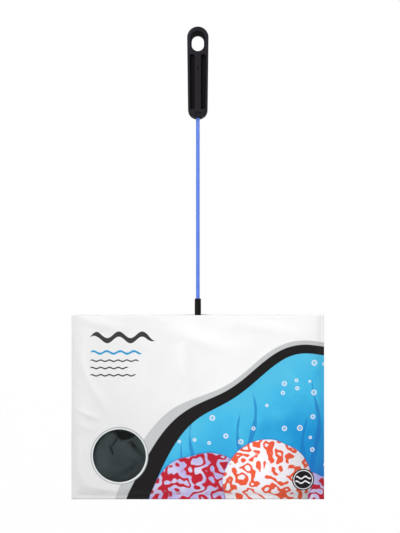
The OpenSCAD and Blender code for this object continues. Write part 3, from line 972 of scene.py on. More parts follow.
def grip_form(x, y, z):
    """Distance from the moulded grip"""
    face = GRIP_HIGH[1]
    side = np.abs(x)

    # Outline seen from the front, drawn in by the edge's radius
    ra, rb = TOP_RADIUS - GRIP_EDGE, GRIP_LOW_RADIUS - GRIP_EDGE
    low_x = GRIP_LOW_HALF - GRIP_LOW_RADIUS
    bx, bz = low_x, LOW_CENTRE - TOP_CENTRE
    h = bx * bx + bz * bz
    px, pz = side, z - TOP_CENTRE
    qx = np.abs(px * bz - pz * bx) / h
    qy = (px * bx + pz * bz) / h
    b = ra - rb
    cx = math.sqrt(h - b * b)
    k = cx * qy - b * qx
    m = cx * qx + b * qy
    n = qx * qx + qy * qy
    outline = np.where(
        k < 0, np.sqrt(h * n) - ra,
        np.where(k > cx, np.sqrt(np.maximum(h * (n + 1 - 2 * qy), 0)) - rb, m - ra))
    below = (side < low_x) & (z < LOW_CENTRE)
    outline = np.where(below, LOW_CENTRE - rb - z, outline)
    solid = both_within(outline, np.abs(y) - (face - GRIP_EDGE)) - GRIP_EDGE

    slot = np.hypot(x, z - np.clip(z, SLOT_LOW_CENTRE, 0)) - SLOT_RADIUS
    solid = round_cut(solid, slot, SLOT_RIM)

    wall = GRIP_LOW_HALF + GRIP_TAPER * (z - LOW_CENTRE) - CHANNEL_WALL
    upright = np.maximum(RIB_HALF - side, side - wall)
    channel = round_meet(upright, z - CHANNEL_TOP, CHANNEL_ROUND_TOP)
    channel = round_meet(channel, CHANNEL_LOW - z, CHANNEL_ROUND_LOW)
    channel = round_meet(channel, face - CHANNEL_DEPTH - np.abs(y), CHANNEL_ROUND_FLOOR)
    solid = round_cut(solid, channel, MOULD_EDGE)

    rx = np.abs(x) - RECESS_HALF[0] + RECESS_CORNER
    rz = np.abs(z - RECESS_HEIGHT) - RECESS_HALF[1] + RECESS_CORNER
    recess = both_within(rx, rz) - RECESS_CORNER
    recess = round_meet(recess, y + face - RECESS_DEPTH, RECESS_ROUND)
    solid = round_cut(solid, recess, RECESS_ROUND)

    mark = np.maximum(np.hypot(x, z - MARK_HEIGHT) - MARK_RADIUS, y + face - MARK_DEPTH)
    solid = round_cut(solid, mark, MARK_ROUND)

    out = np.hypot(x, y)
    flare = np.clip((GRIP_LOW[2] + MOUTH_DEPTH - z) / MOUTH_DEPTH, 0, 1.5)
    shaft_hole = SHAFT_HIGH[0] + BORE_FIT
    bore = np.maximum(out - shaft_hole - flare * (MOUTH_RADIUS - shaft_hole), z - SHAFT_HIGH[2] - SEAT_GAP)
    core = np.maximum(out - CORE_HIGH[0] - BORE_FIT, z - CORE_HIGH[2] - SEAT_GAP)
    return round_cut(solid, np.minimum(bore, core), MOUTH_ROUND)


GRIP_CELL = 0.5


def make_grip():
    points, faces = skin_of(grip_form, GRIP_LOW, GRIP_HIGH, GRIP_CELL)
    return new_piece("grip_moulding", points, faces, [GRIP_PLASTIC])


# Shaft and ferrule. The skin's end is drawn in by a little over a short reach.

SKIN_SWELL = 0.02
SKIN_END = 0.35
SKIN_END_REACH = 0.4


def make_shaft():
    """Coated shaft, a dipped tube whose skin swells a little here and there"""
    low, high = SHAFT_LOW[2], SHAFT_HIGH[2]
    heights = np.linspace(low, high, 160)
    swell = SKIN_SWELL * (ripples(heights, 0, 5, shortest=8, longest=50) - 1)
    from_end = np.minimum(heights - low, high - heights)
    radius = SHAFT_HIGH[0] + swell - SKIN_END * np.exp(-from_end / SKIN_END_REACH)
    outer = np.stack([radius, heights], -1)
    inner = np.array([[CORE_HIGH[0] + BORE_FIT, high], [CORE_HIGH[0] + BORE_FIT, low]])
    return lathed("shaft_skin", np.concatenate([outer, inner]), 48, [BLUE_COATING])


FERRULE_WEB = 1.2
FERRULE_SHOULDER = 1.1
FERRULE_FOOT = 0.45
FERRULE_EDGE = 0.2
FERRULE_CELL = 0.24
WIRE_GAP_HALF = 0.05


def ferrule_form(x, y, z):
    """Distance from the sleeve, with its seats for the shaft above and the two wire ends below"""
    low, high = FERRULE_LOW[2], FERRULE_HIGH[2]
    out = np.hypot(x, y)
    web = (low + high) / 2
    sleeve = round_meet(out - FERRULE_HIGH[0], z - high, FERRULE_SHOULDER)
    sleeve = round_meet(sleeve, low - z, FERRULE_FOOT)
    shaft_seat = np.maximum(out - SHAFT_HIGH[0] - BORE_FIT, web + FERRULE_WEB / 2 - z)
    half = WIRE_RADIUS + WIRE_GAP_HALF
    wires = np.hypot(x - np.clip(x, -half, half), y) - WIRE_RADIUS - BORE_FIT
    wire_seat = np.maximum(wires, z - web + FERRULE_WEB / 2)
    return round_cut(sleeve, np.minimum(shaft_seat, wire_seat), FERRULE_EDGE)


def make_ferrule():
    points, faces = skin_of(ferrule_form, FERRULE_LOW, FERRULE_HIGH, FERRULE_CELL)
    return new_piece("ferrule_sleeve", points, faces, [FERRULE_PLASTIC])


# Hoop

WIRE_RADIUS = 1.25
COAT_RADIUS = 1.6
HEM_RADIUS = 2.22
CORNER_RADIUS = 25
NECK_BEND = 8
COAT_START = 30
NECK_X = 1.3 + NECK_BEND
HEM_NECK_X = NECK_X + 1
TAIL = 8
TAIL_HALF = 0.5
TAIL_EDGE_HALF = 0.28
TAIL_START = -3.1
TAIL_SWAY_REACH = TAIL - 0.9
TAIL_ROOT = 0.5
TAIL_ROOT_REACH = 0.6
HEM_WRAP = 142
HEM_SWELL = 0.02
HEM_SWELL_LENGTH = 9
GATHER_HEIGHT = 0.06
GATHER_LENGTH = 2.8

# Waves of the tail's edge: height, length and phase of the loose ones, then of the one at the hoop's corners
LOOSE_WAVES = [(0.12, 31, 0), (0.1, 11.3, 1)]
CORNER_WAVE = (0.34, 5.6, 0)

RAIL_X = HEM_HIGH[0] - HEM_RADIUS
RAIL_TOP = HEM_HIGH[2] - HEM_RADIUS
RAIL_LOW = HEM_LOW[2] + HEM_RADIUS
CORNER_X = RAIL_X - CORNER_RADIUS


def arc(centre, radius, start, end, step):
    """Points and outward directions round an arc in the XZ plane, from one angle to another in degrees"""
    count = max(2, int(round(abs(math.radians(end - start)) * radius / step)))
    angles = np.radians(np.linspace(start, end, count + 1))[:-1]
    out = np.stack([np.cos(angles), 0 * angles, np.sin(angles)], -1)
    return np.array([centre[0], 0, centre[1]]) + radius * out, out


def run(start, end, out, step):
    """Points and outward directions along a straight stretch"""
    (x0, z0), (x1, z1) = start, end
    count = max(1, int(round(math.hypot(x1 - x0, z1 - z0) / step)))
    share = np.linspace(0, 1, count + 1)[:-1]
    points = np.stack([x0 + share * (x1 - x0), 0 * share, z0 + share * (z1 - z0)], -1)
    return points, np.tile([out[0], 0, out[1]], (count, 1))


def hoop_path(start_x, step, neck=False):
    """Centre line of the hoop from the right of the neck round to its left, with its outward directions"""
    high, low = RAIL_TOP - CORNER_RADIUS, RAIL_LOW + CORNER_RADIUS
    stretches = [
        run((start_x, RAIL_TOP), (CORNER_X, RAIL_TOP), (0, 1), step),
        arc((CORNER_X, high), CORNER_RADIUS, 90, 0, step),
        run((RAIL_X, high), (RAIL_X, low), (1, 0), step),
        arc((CORNER_X, low), CORNER_RADIUS, 0, -90, step),
        run((CORNER_X, RAIL_LOW), (-CORNER_X, RAIL_LOW), (0, -1), step),
        arc((-CORNER_X, low), CORNER_RADIUS, -90, -180, step),
        run((-RAIL_X, low), (-RAIL_X, high), (-1, 0), step),
        arc((-CORNER_X, high), CORNER_RADIUS, 180, 90, step),
        run((-CORNER_X, RAIL_TOP), (-start_x, RAIL_TOP), (0, 1), step),
    ]
    if neck:
        centre = (NECK_X, RAIL_TOP + NECK_BEND)
        turn, out = arc(centre, NECK_BEND, -180 + COAT_START, -90, step)
        stretches.insert(0, (turn, -out))
        turn, out = arc((-centre[0], centre[1]), NECK_BEND, -90, -COAT_START, step)
        stretches.append((turn, -out))
    return np.concatenate([s[0] for s in stretches]), np.concatenate([s[1] for s in stretches])


def round_outline(radius, sides):
    turns = TURN * np.arange(sides) / sides
    return radius * np.stack([np.cos(turns), np.sin(turns)], -1)


def make_hoop_coating():
    """Coating of the hoop, with soft ends where it starts"""
    path, out = hoop_path(NECK_X, 2.0, neck=True)
    ends = np.minimum(np.arange(len(path)), np.arange(len(path))[::-1])
    radius = COAT_RADIUS * np.array([0.82, 0.95])[np.minimum(ends, 1)]
    radius[ends > 1] = COAT_RADIUS

    def section(i):
        return round_outline(radius[i], 20)

    return swept("hoop_skin", path, out, section, [BLUE_COATING])


def path_lengths(path):
    """Length along a path to each of its points"""
    steps = np.linalg.norm(np.diff(path, axis=0), axis=1)
    return np.concatenate([[0], np.cumsum(steps)])


def at_corner(path):
    """1 in the middle of the hoop's corners and 0 on its straight stretches"""
    middle = (RAIL_TOP + RAIL_LOW) / 2
    corner_z = RAIL_TOP - CORNER_RADIUS - middle
    beyond_x = np.clip((np.abs(path[:, 0]) - CORNER_X) / CORNER_RADIUS, 0, 1)
    beyond_z = np.clip((np.abs(path[:, 2] - middle) - corner_z) / CORNER_RADIUS, 0, 1)
    return np.minimum(1, 4 * beyond_x * beyond_z)


def tail_wave(length, corner):
    """Sway of the tail's edge to the back, from its gathers"""
    def wave(height, run_length, phase):
        return height * np.sin(TURN * length / run_length + phase)

    return sum(wave(*loose) for loose in LOOSE_WAVES) + corner * wave(*CORNER_WAVE)


def tail_sway(wave, across):
    """How far the tail sways at a distance from the wire, when its edge sways by the wave"""
    return wave * ((TAIL_START - across) / TAIL_SWAY_REACH) ** 1.5


HEM_PATH, HEM_OUT = hoop_path(HEM_NECK_X, 1.4)
HEM_LENGTHS = path_lengths(HEM_PATH)
HEM_CORNER = at_corner(HEM_PATH)
HEM_WAVE = tail_wave(HEM_LENGTHS, HEM_CORNER)


def hem_outline(i):
    """Outline of the binding at a point: round the wire, pinched to the two layers of the tail"""
    swell = 1 + HEM_SWELL * (math.sin(TURN * HEM_LENGTHS[i] / HEM_SWELL_LENGTH) - 1)
    turns = np.radians(np.linspace(-HEM_WRAP, HEM_WRAP, 23))
    bulge = HEM_RADIUS * swell * np.stack([np.cos(turns), np.sin(turns)], -1)
    across = np.linspace(TAIL_START, -HEM_RADIUS - TAIL, 9)
    half = TAIL_HALF + TAIL_ROOT * np.exp((across - TAIL_START) / TAIL_ROOT_REACH)
    half[-1] = TAIL_EDGE_HALF
    gather = GATHER_HEIGHT * HEM_CORNER[i] * math.sin(TURN * HEM_LENGTHS[i] / GATHER_LENGTH)
    sway = tail_sway(HEM_WAVE[i], across)
    upper = np.stack([across, half + gather + sway], -1)
    lower = np.stack([across, -half - gather + sway], -1)
    return np.concatenate([bulge, upper, lower[::-1]])


def make_hem():
    """Cloth binding of the hoop, with its place along and round the tape kept for the weave"""
    girth = path_lengths(hem_outline(0))
    uv = [[length, g] for length in HEM_LENGTHS for g in girth] + [[0, 0], [HEM_LENGTHS[-1], 0]]
    return swept("hem_binding", HEM_PATH, HEM_OUT, hem_outline, [BINDING_CLOTH], uv)


# Stitches

THREAD_RADIUS = 0.17
STITCH_RISE = 0.34
STITCH_SPACING = 3.1
STITCH_LENGTH = 2.3
STITCH_LIFT = 0.04
HEM_ROWS = (-HEM_RADIUS - 2.2, -HEM_RADIUS - TAIL + 1.3)


def stitch_tree():
    """Geometry Nodes tree that lays arched stitches along a seam line"""
    inputs = {
        "Seam": "Geometry", "Spacing": "Float", "Length": "Float", "Thickness": "Float", "Rise": "Float",
        "Slant": "Float", "Outward": "Vector", "Thread": "Material",
    }
    tree, given = new_group("stitches", inputs, {"Stitches": "Geometry"}, kind="Geometry")
    seam = node_field(tree, "GeometryNodeMeshToCurve", {0: given["Seam"]})
    places = add_node(
        tree, "GeometryNodeCurveToPoints", {"Curve": seam, "Length": given["Spacing"]}, mode="LENGTH")
    sink = given["Thickness"] * -1
    left, right = [
        node_field(
            tree, "ShaderNodeCombineXYZ",
            {0: given["Length"] * (side / 2), 1: given["Slant"] * side, 2: sink})
        for side in (-1, 1)]
    crown = node_field(tree, "ShaderNodeCombineXYZ", {2: given["Rise"]})
    arch = node_field(
        tree, "GeometryNodeCurveQuadraticBezier",
        {"Resolution": 5, "Start": left, "Middle": crown, "End": right})
    ring = node_field(
        tree, "GeometryNodeCurvePrimitiveCircle", {"Resolution": 6, "Radius": given["Thickness"]})
    strand = node_field(
        tree, "GeometryNodeCurveToMesh", {"Curve": arch, "Profile Curve": ring, "Fill Caps": True})
    smooth = node_field(tree, "GeometryNodeSetShadeSmooth", {0: strand})
    along = node_field(
        tree, "FunctionNodeAlignRotationToVector", {"Vector": places.outputs["Tangent"]}, axis="X")
    upright = node_field(
        tree, "FunctionNodeAlignRotationToVector", {"Rotation": along, "Vector": given["Outward"]},
        axis="Z", pivot_axis="X")
    laid = node_field(
        tree, "GeometryNodeInstanceOnPoints",
        {"Points": places.outputs["Points"], "Instance": smooth, "Rotation": upright})
    real = node_field(tree, "GeometryNodeRealizeInstances", {0: laid})
    dyed = node_field(tree, "GeometryNodeSetMaterial", {0: real, "Material": given["Thread"]})
    return close_group(tree, Stitches=dyed)


STITCHES = stitch_tree()


def stitch_rows(name, rows):
    """One piece of thread. Each row is a line of points with its spacing, length, slant and outward
    direction."""
    joined = bmesh.new()
    for line, spacing, length, slant, outward in rows:
        mesh = bpy.data.meshes.new(name + "_line")
        mesh.from_pydata((np.asarray(line) * MM).tolist(), [(i, i + 1) for i in range(len(line) - 1)], [])
        seam = add_object(name + "_line", mesh)
        modifier = seam.modifiers.new("stitches", "NODES")
        modifier.node_group = STITCHES
        values = {
            "Spacing": spacing * MM, "Length": length * MM, "Slant": slant * MM, "Outward": outward,
            "Thickness": THREAD_RADIUS * MM, "Rise": STITCH_RISE * MM, "Thread": THREAD,
        }
        for item in STITCHES.interface.items_tree:
            if item.in_out == "INPUT" and item.name in values:
                modifier[item.identifier] = values[item.name]
        settle(seam)
        joined.from_mesh(seam.data)
        bpy.data.objects.remove(seam)
    mesh = bpy.data.meshes.new(name)
    joined.to_mesh(mesh)
    joined.free()
    mesh.shade_smooth()
    mesh.materials.clear()
    mesh.materials.append(THREAD)
    return face_outwards(add_object(name, mesh))


def make_hem_stitches():
    """Two rows of stitches on each face of the binding's tail"""
    rows = []
    for across in HEM_ROWS:
        sway = tail_sway(HEM_WAVE, across)
        for face in (-1, 1):
            depth = sway + face * (TAIL_HALF + STITCH_LIFT)
            line = HEM_PATH + across * HEM_OUT + depth[:, None] * BACK
            rows.append((line[1:-1], STITCH_SPACING, STITCH_LENGTH, 0, (0, face, 0)))
    return stitch_rows("hem_stitches", rows)


# Net pocket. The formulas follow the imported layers, with finer steps, wrinkles and creases.

CLOTH_INSET = HEM_RADIUS + 1.5
CLOTH_HALF = RAIL_X - CLOTH_INSET
CLOTH_CORNER = CORNER_RADIUS - CLOTH_INSET
CLOTH_TOP = RAIL_TOP - CLOTH_INSET
CLOTH_LOW = RAIL_LOW + HEM_RADIUS + 2.5
CLOTH_EDGE_Y = 0.85
FRONT_LOW = RAIL_LOW + HEM_RADIUS + 1
CLOTH_RISE = 4
REAR_DEPTH = 4
SEAM_BACK_Y = 3.2
PLEAT_HEIGHT = 1
PLEAT_PITCH = 34
FOLD_HEIGHT = 59
FOLD_DIP = 12.8
FOLD_DIP_X = WINDOW_X + 4.2
FOLD_DIP_WIDTHS = (9.5, 15.5)
FOLD_SIDE_SHARE = 0.5
FOLD_INSET = 9
FOLD_RADIUS = 1.8
FOLD_MIDDLE_Y = -0.6
SEAM_SPACING = 1.9
NET_THICKNESS = 0.32
STRIP_FILLET = 4
STRIP_CORNER = 2

# Painted shade and light of the cloth: how much shade is painted in its creases, how much paler its ridges
# are painted, and how much shade is painted by the fold where it goes down into the pocket: most of all in
# the dip of the fold
CREASE_SHADE = 0.6
RIDGE_PAINTED_LIGHT = 0.3
MOUTH_SHADE_START = 6
MOUTH_SHADE_REACHES = (2.5, 7)
MOUTH_SHADE_BELOW = 4
CONTACT_SHADE = 0.5

# How high and how wide a crease still is at its ends
CREASE_END = 0.45

# Creases of the folded layer behind the window: start and end from the window's middle, width, and depth
# (raised below 0)
CLOTH_CREASES = [
    ((-0.5, 19.5), (-7.5, 10), 1.3, 1.5),
    ((-10.5, 10), (-6.5, 0.2), 1.3, 1.5),
    ((4.5, 20.5), (17, 7), 2.7, 1.0),
    ((12, 11), (25, -1), 2.6, 1.0),
    ((-10, -27), (17, -10), 3, 0.6),
    ((6, -19), (29, -1), 3, 0.45),
    ((8, -27), (25, -12), 5, 0.3),
    ((6, -1.5), (19, -8), 1.5, 0.5),
    ((-6, -6), (4, -12), 1.3, 0.4),
    ((-4, 12), (8, 10), 5, -0.5),
    ((-22, 10), (-15, -16), 7, -0.6),
    ((-20, 14), (-8, 22), 5, -0.5),
    ((6, 2), (14, -3), 4, -0.4),
]

# Soft folds of the folded layer and of the rear layer, in the same way
FRONT_CLOTH_FOLDS = [
    ((34, 28), (58, -22), 4, 1.2),
    ((50, 26), (82, -20), 5, -1.0),
    ((88, 28), (104, -20), 4.5, 1.2),
    ((104, 26), (136, -22), 5, -1.0),
    ((126, 28), (166, -14), 4.5, 1.2),
    ((150, 24), (184, 0), 4, -0.8),
    ((40, -25), (146, -21), 3, 0.7),
]
REAR_CLOTH_FOLDS = [
    ((-26, 116), (16, 30), 6, -1.2),
    ((36, 122), (60, 40), 7, -1.0),
    ((96, 120), (78, 36), 6, -1.1),
    ((124, 122), (164, 48), 7, -1.2),
    ((188, 110), (142, 34), 6, -1.0),
]
# How much shade is painted in the soft folds of the folded layer, and how much light on their raised sides
CLOTH_FOLD_SHADE = 0.2


def cloth_reach(z, inset):
    """Half-width of the cloth at a height, drawn in from its edge"""
    r = CLOTH_CORNER - inset
    above = np.maximum(0, z - (CLOTH_TOP - CLOTH_CORNER))
    below = np.maximum(0, RAIL_LOW + CORNER_RADIUS - z)
    out = np.minimum(r, np.maximum(above, below))
    return CLOTH_HALF - CLOTH_CORNER + np.sqrt(r * r - out * out)


def front_reach(z):
    """Half-width of the folded layer, with the corners of its sewn strip rounded"""
    narrow = CLOTH_HALF - CLOTH_CORNER
    lobe_low = RAIL_LOW + CORNER_RADIUS - CLOTH_CORNER + FOLD_INSET
    turn = STRIP_FILLET - np.clip(lobe_low - z, 0, STRIP_FILLET)
    fillet = STRIP_FILLET - np.sqrt(STRIP_FILLET ** 2 - turn ** 2)
    foot = np.clip(STRIP_CORNER - z + FRONT_LOW, 0, STRIP_CORNER)
    cut = STRIP_CORNER - np.sqrt(STRIP_CORNER ** 2 - foot ** 2)
    return np.maximum(cloth_reach(z, FOLD_INSET), narrow + fillet) - cut


def pleat(x):
    return (1 - np.cos(TURN * x / PLEAT_PITCH)) / 2


def mix(a, b, share):
    return a + (b - a) * share


def rear_y(x, z):
    """Depth of the rear layer"""
    side = come_away(cloth_reach(z, 0) - np.abs(x), CLOTH_RISE)
    top = come_away(CLOTH_TOP - z, CLOTH_RISE)
    hang = come_away(CLOTH_TOP - z, 8 * CLOTH_RISE)
    low = come_away(z - CLOTH_LOW, 2 * CLOTH_RISE)
    pleats = PLEAT_HEIGHT * pleat(x) * side * hang * low
    return mix(CLOTH_EDGE_Y, mix(SEAM_BACK_Y, REAR_DEPTH, low), side * top) + pleats


def fold_dip(x):
    """1 in the middle of the dip in the fold's edge and 0 away from it"""
    width = np.where(x < FOLD_DIP_X, *FOLD_DIP_WIDTHS)
    return np.exp(-np.abs((x - FOLD_DIP_X) / width) ** 3)


def fold_z(u):
    """Height of the fold's edge"""
    x = u * cloth_reach(FRONT_LOW + FOLD_HEIGHT, FOLD_INSET)
    arch = mix(FOLD_SIDE_SHARE, 1, 1 - np.abs(u) ** 10)
    return FRONT_LOW + FOLD_HEIGHT * arch - FOLD_DIP * fold_dip(x)


def ridges_of(kind, x, z, lines):
    """Depth of the creases or soft folds of a layer"""
    depth = 0 * x
    for start, end, width, deep in lines:
        depth = depth + deep * kind(x - WINDOW_X, z - WINDOW_Z, start, end, width)
    return depth


def make_rear_layer():
    places = np.linspace(-1, 1, 171)
    places = 0.7 * places + 0.3 * np.sin(places * math.pi / 2)
    rows = CLOTH_TOP + (CLOTH_LOW - CLOTH_TOP) * (1 - np.cos(np.linspace(0, math.pi, 112))) / 2
    u, z = np.meshgrid(places, rows)
    x = u * cloth_reach(z, 0)
    above_fold = z - fold_z(x / cloth_reach(FRONT_LOW + FOLD_HEIGHT, FOLD_INSET))
    # Painted shade by the fold's edge, deepest in its dip and fading below the fold
    dip = fold_dip(x)
    shade = np.exp(-np.maximum(above_fold - MOUTH_SHADE_START * dip, 0) / mix(*MOUTH_SHADE_REACHES, dip))
    shade = shade * mix(CONTACT_SHADE, 1, dip) * np.exp(-(np.minimum(above_fold, 0) / MOUTH_SHADE_BELOW) ** 2)
    from_edge = np.minimum(cloth_reach(z, 0) - np.abs(x), np.minimum(CLOTH_TOP - z, z - CLOTH_LOW))
    inner = come_away(from_edge, 10)
    uneven = 0.28 * ripples(x, z, 11, shortest=16, longest=70) + 0.14 * ripples(x, z, 12, 30, 6, 16)
    y = rear_y(x, z) + inner * (uneven + ridges_of(soft_fold, x, z, REAR_CLOTH_FOLDS))
    points = np.stack([x, y, z], -1).reshape(-1, 3)
    uv = np.stack([x, z], -1).reshape(-1, 2)
    sheet = new_piece("net_rear", points, grid_faces(len(rows), len(places)), [NET_CLOTH], uv, shade)
    return thicken(sheet, NET_THICKNESS)


# The row of the folded layer that is sewn, how far its stitches stand off, and how far forwards and back the
# layer may lie
STITCHED_ROW = 3
STITCHED_LIFT = NET_THICKNESS / 2 + 0.03
FRONT_LAYER_LIMITS = (-5.1, 2.2)


def front_leg(x, z, angle):
    """Depth and painted shade of the folded layer's front. The angle goes from 0 at the sewn edge to half a
    turn at the fold."""
    bow = PLEAT_HEIGHT * (pleat(x + PLEAT_PITCH / 4) + 1) * math.sin(angle)
    away = come_away(z - FRONT_LOW, CLOTH_RISE)
    smooth = mix(-CLOTH_EDGE_Y, FOLD_MIDDLE_Y - FOLD_RADIUS, away) - bow
    uneven = 0.3 * ripples(x, z, 21, shortest=14, longest=60) + 0.1 * ripples(x, z, 22, 30, 5, 12)
    creases = ridges_of(crease, x, z, CLOTH_CREASES)
    folds = ridges_of(soft_fold, x, z, FRONT_CLOTH_FOLDS)
    fade = away * come_away(front_reach(z) - np.abs(x), 6)
    y = np.clip(smooth + fade * (uneven + creases + folds), *FRONT_LAYER_LIMITS)
    # Painted shade in the creases and folds, and painted light on their raised sides
    return y, np.clip(CREASE_SHADE * creases + CLOTH_FOLD_SHADE * folds, -RIDGE_PAINTED_LIGHT, 1)


def make_front_layer():
    """The layer that is folded up inside the hoop: up from the binding, over the fold and down to the seam.
    Also gives the line along which it is sewn to the binding."""
    near = (np.array([-WINDOW_DISC, WINDOW_DISC]) + WINDOW_X) / (CLOTH_HALF - FOLD_INSET)
    places = np.concatenate([
        np.linspace(-1, near[0], 12)[:-1], np.linspace(*near, 100)[:-1], np.linspace(near[1], 1, 150)])
    legs = ([("front", s) for s in np.linspace(0, 1, 84)]
            + [("fold", s) for s in np.linspace(0, 1, 12)[1:-1]]
            + [("back", s) for s in np.linspace(0, 1, 34)])
    top = fold_z(places) - FOLD_RADIUS
    rows = []
    shades = []
    for leg, share in legs:
        angle = math.pi * share
        if leg == "front":
            z = mix(FRONT_LOW, top, share)
            x = places * front_reach(z)
            y, shade = front_leg(x, z, angle)
        elif leg == "fold":
            z = top + FOLD_RADIUS * math.sin(angle)
            x = places * front_reach(z)
            y = 0 * x + FOLD_MIDDLE_Y - FOLD_RADIUS * math.cos(angle)
            shade = 0 * x
        else:
            z = mix(top, CLOTH_LOW, share)
            x = places * cloth_reach(z, FOLD_INSET)
            y = mix(FOLD_MIDDLE_Y + FOLD_RADIUS, rear_y(x, CLOTH_LOW) - SEAM_SPACING, share ** 2)
            # The leg inside the pocket is painted fully in shade
            shade = 0 * x + 1
        rows.append(np.stack([x, y, z], -1))
        shades.append(shade)
    grid = np.stack(rows)
    steps = np.linalg.norm(np.diff(grid, axis=0), axis=2)
    down = np.concatenate([np.zeros((1, len(places))), np.cumsum(steps, axis=0)])
    uv = np.stack([grid[..., 0], down], -1).reshape(-1, 2)
    faces = grid_faces(len(legs), len(places))
    sheet = new_piece("net_front", grid.reshape(-1, 3), faces, [NET_CLOTH], uv, np.stack(shades))
    return thicken(sheet, NET_THICKNESS), grid[STITCHED_ROW, 3:-3] - STITCHED_LIFT * BACK


SEAM_RISE = 3
SEAM_LIP = 1.2
SEAM_HALF = 0.5
SEAM_PUCKER = 0.08
SEAM_PUCKER_LENGTH = 3.3

# The seam's stitches: spacing, length and slant, and their height above the pocket's lower edge
SEAM_STITCH = (2.2, 1.5, 1.2)
SEAM_STITCH_HEIGHT = 0.9


def make_pocket_seam():
    """Turned edge along the bottom of the pocket, with a soft rolled section"""
    u = np.linspace(-1, 1, 191)
    x = u * cloth_reach(CLOTH_LOW, FOLD_INSET)
    middle = rear_y(x, CLOTH_LOW) - SEAM_SPACING / 2
    height = (SEAM_RISE + SEAM_LIP) / 2
    path = np.stack([x, middle, 0 * x + CLOTH_LOW + (SEAM_RISE - SEAM_LIP) / 2], -1)
    lengths = path_lengths(path)
    turns = TURN * np.arange(16) / 16
    shape = np.stack([
        np.sign(np.sin(turns)) * np.abs(np.sin(turns)) ** 0.5,
        np.sign(np.cos(turns)) * np.abs(np.cos(turns)) ** 0.8], -1)

    def section(i):
        pucker = 1 + SEAM_PUCKER * math.sin(TURN * lengths[i] / SEAM_PUCKER_LENGTH)
        return shape * [height * pucker, SEAM_HALF * (2 - pucker)]

    out = np.tile([0, 0, 1.0], (len(path), 1))
    return swept("pocket_seam_roll", path, out, section, [BINDING_CLOTH])


def make_seam_stitches():
    """Slanted stitches that hold the pocket's turned edge, on both of its faces"""
    u = np.linspace(-0.99, 0.99, 160)
    x = u * cloth_reach(CLOTH_LOW, FOLD_INSET)
    middle = rear_y(x, CLOTH_LOW) - SEAM_SPACING / 2
    rows = []
    for face in (-1, 1):
        line = np.stack([x, middle + face * SEAM_HALF, 0 * x + CLOTH_LOW + SEAM_STITCH_HEIGHT], -1)
        rows.append((line, *SEAM_STITCH, (0, face, 0)))
    return stitch_rows("seam_stitches", rows)


# Bag

FILM_WALL = 0.12
FILM_MIDDLE = 0.15
BAG_SEAL_X = BAG_HIGH[0] - SIDE_SEAL
BAG_SEAL_Z = BAG_LOW[2] + LOW_SEAL
HALF_DEPTH = 5.8
FILM_RISE = 6.5
WINDOW_WALL = 0.06
WINDOW_FIT = 0.2

# Steps of the films' grids, and how far the square of rings reaches past the window
FRONT_STEP = 1.7
BACK_STEP = 1.8
BACK_SEAL_STEP = 1.2
SQUARE_MARGIN = 6

# Half the depth of the bag's mouth, wide enough for the cloth to pass, and how far down it narrows the bag
MOUTH_HALF = 5.3
MOUTH_REACH = 11

# How the film stands out round the sleeve: height, half-width and reach downwards
SLEEVE_RISE = 1.3
SLEEVE_HALF = 9
SLEEVE_REACH = 30

# How much flatter the front film is at the window, and how far round it
WINDOW_CALM = 0.8
WINDOW_CALM_REACH = 9

# Softness and most height of the film's unevenness, and height and width of the small fans at its seals
LIFT_MIX = 0.15
LIFT_MOST = 1.25
FAN_HEIGHT = 0.2
FAN_WIDTH = 5


def film_gap(x, z, face):
    """Distance of one film from the bag's middle plane"""
    side = come_away(BAG_SEAL_X - np.abs(x), FILM_RISE)
    low = come_away(z - BAG_SEAL_Z, FILM_RISE)
    below_top = BAG_HIGH[2] - z
    closed = (1 - MOUTH_HALF / HALF_DEPTH) * np.exp(-below_top / MOUTH_REACH)
    round_sleeve = np.exp(-(x / SLEEVE_HALF) ** 2) * np.exp(-below_top / SLEEVE_REACH)
    gap = HALF_DEPTH * side * low * (1 - closed) + SLEEVE_RISE * round_sleeve
    free = side * low
    if face < 0:
        from_window = np.hypot(x - WINDOW_X, z - WINDOW_Z) - WINDOW_DISC
        free = free * (1 - WINDOW_CALM * np.exp(-np.maximum(from_window, 0) / WINDOW_CALM_REACH))
    bx, bz = on_bag(x, z)
    seed = 31 if face < 0 else 41
    lift = 0.2 + 0.3 * ripples(x, z, seed, 26, 30, 110) + 0.16 * ripples(x, z, seed + 1, 30, 12, 30)
    for start, end, width, height in (FRONT_FOLDS if face < 0 else BACK_FOLDS):
        lift = lift + height * soft_fold(bx, bz, start, end, width)
    # The film lies on what is in the bag, so it is lifted but hardly pressed in
    lift = LIFT_MIX * np.logaddexp(0, lift / LIFT_MIX)
    lift = LIFT_MOST * np.tanh(lift / LIFT_MOST)
    from_side = (BAG_SEAL_X - np.abs(x)) / FAN_WIDTH
    from_low = (z - BAG_SEAL_Z) / FAN_WIDTH
    fans = ripples(0 * x, z, seed + 2, 20, 5, 20) * np.exp(-(from_side - 1) ** 2)
    fans = fans + ripples(x, 0 * z, seed + 3, 20, 5, 20) * np.exp(-(from_low - 1) ** 2)
    gap = gap + free * lift + FAN_HEIGHT * side * low * fans
    return np.maximum(gap, 0)


def film_place(x, z, face, out=FILM_MIDDLE):
    return np.stack([x, face * (film_gap(x, z, face) + out), z], -1)


def span_steps(levels, steps):
    """Places from the first level to the last with about the given step in each span between two levels, and
    the number of the place that each level has"""
    spans = []
    for low, high, step in zip(levels, levels[1:], steps):
        count = max(2, int(round((high - low) / step)))
        spans.append(np.linspace(low, high, count + 1)[:-1])
    return np.concatenate(spans + [levels[-1:]]), np.cumsum([0] + [len(span) for span in spans]).tolist()


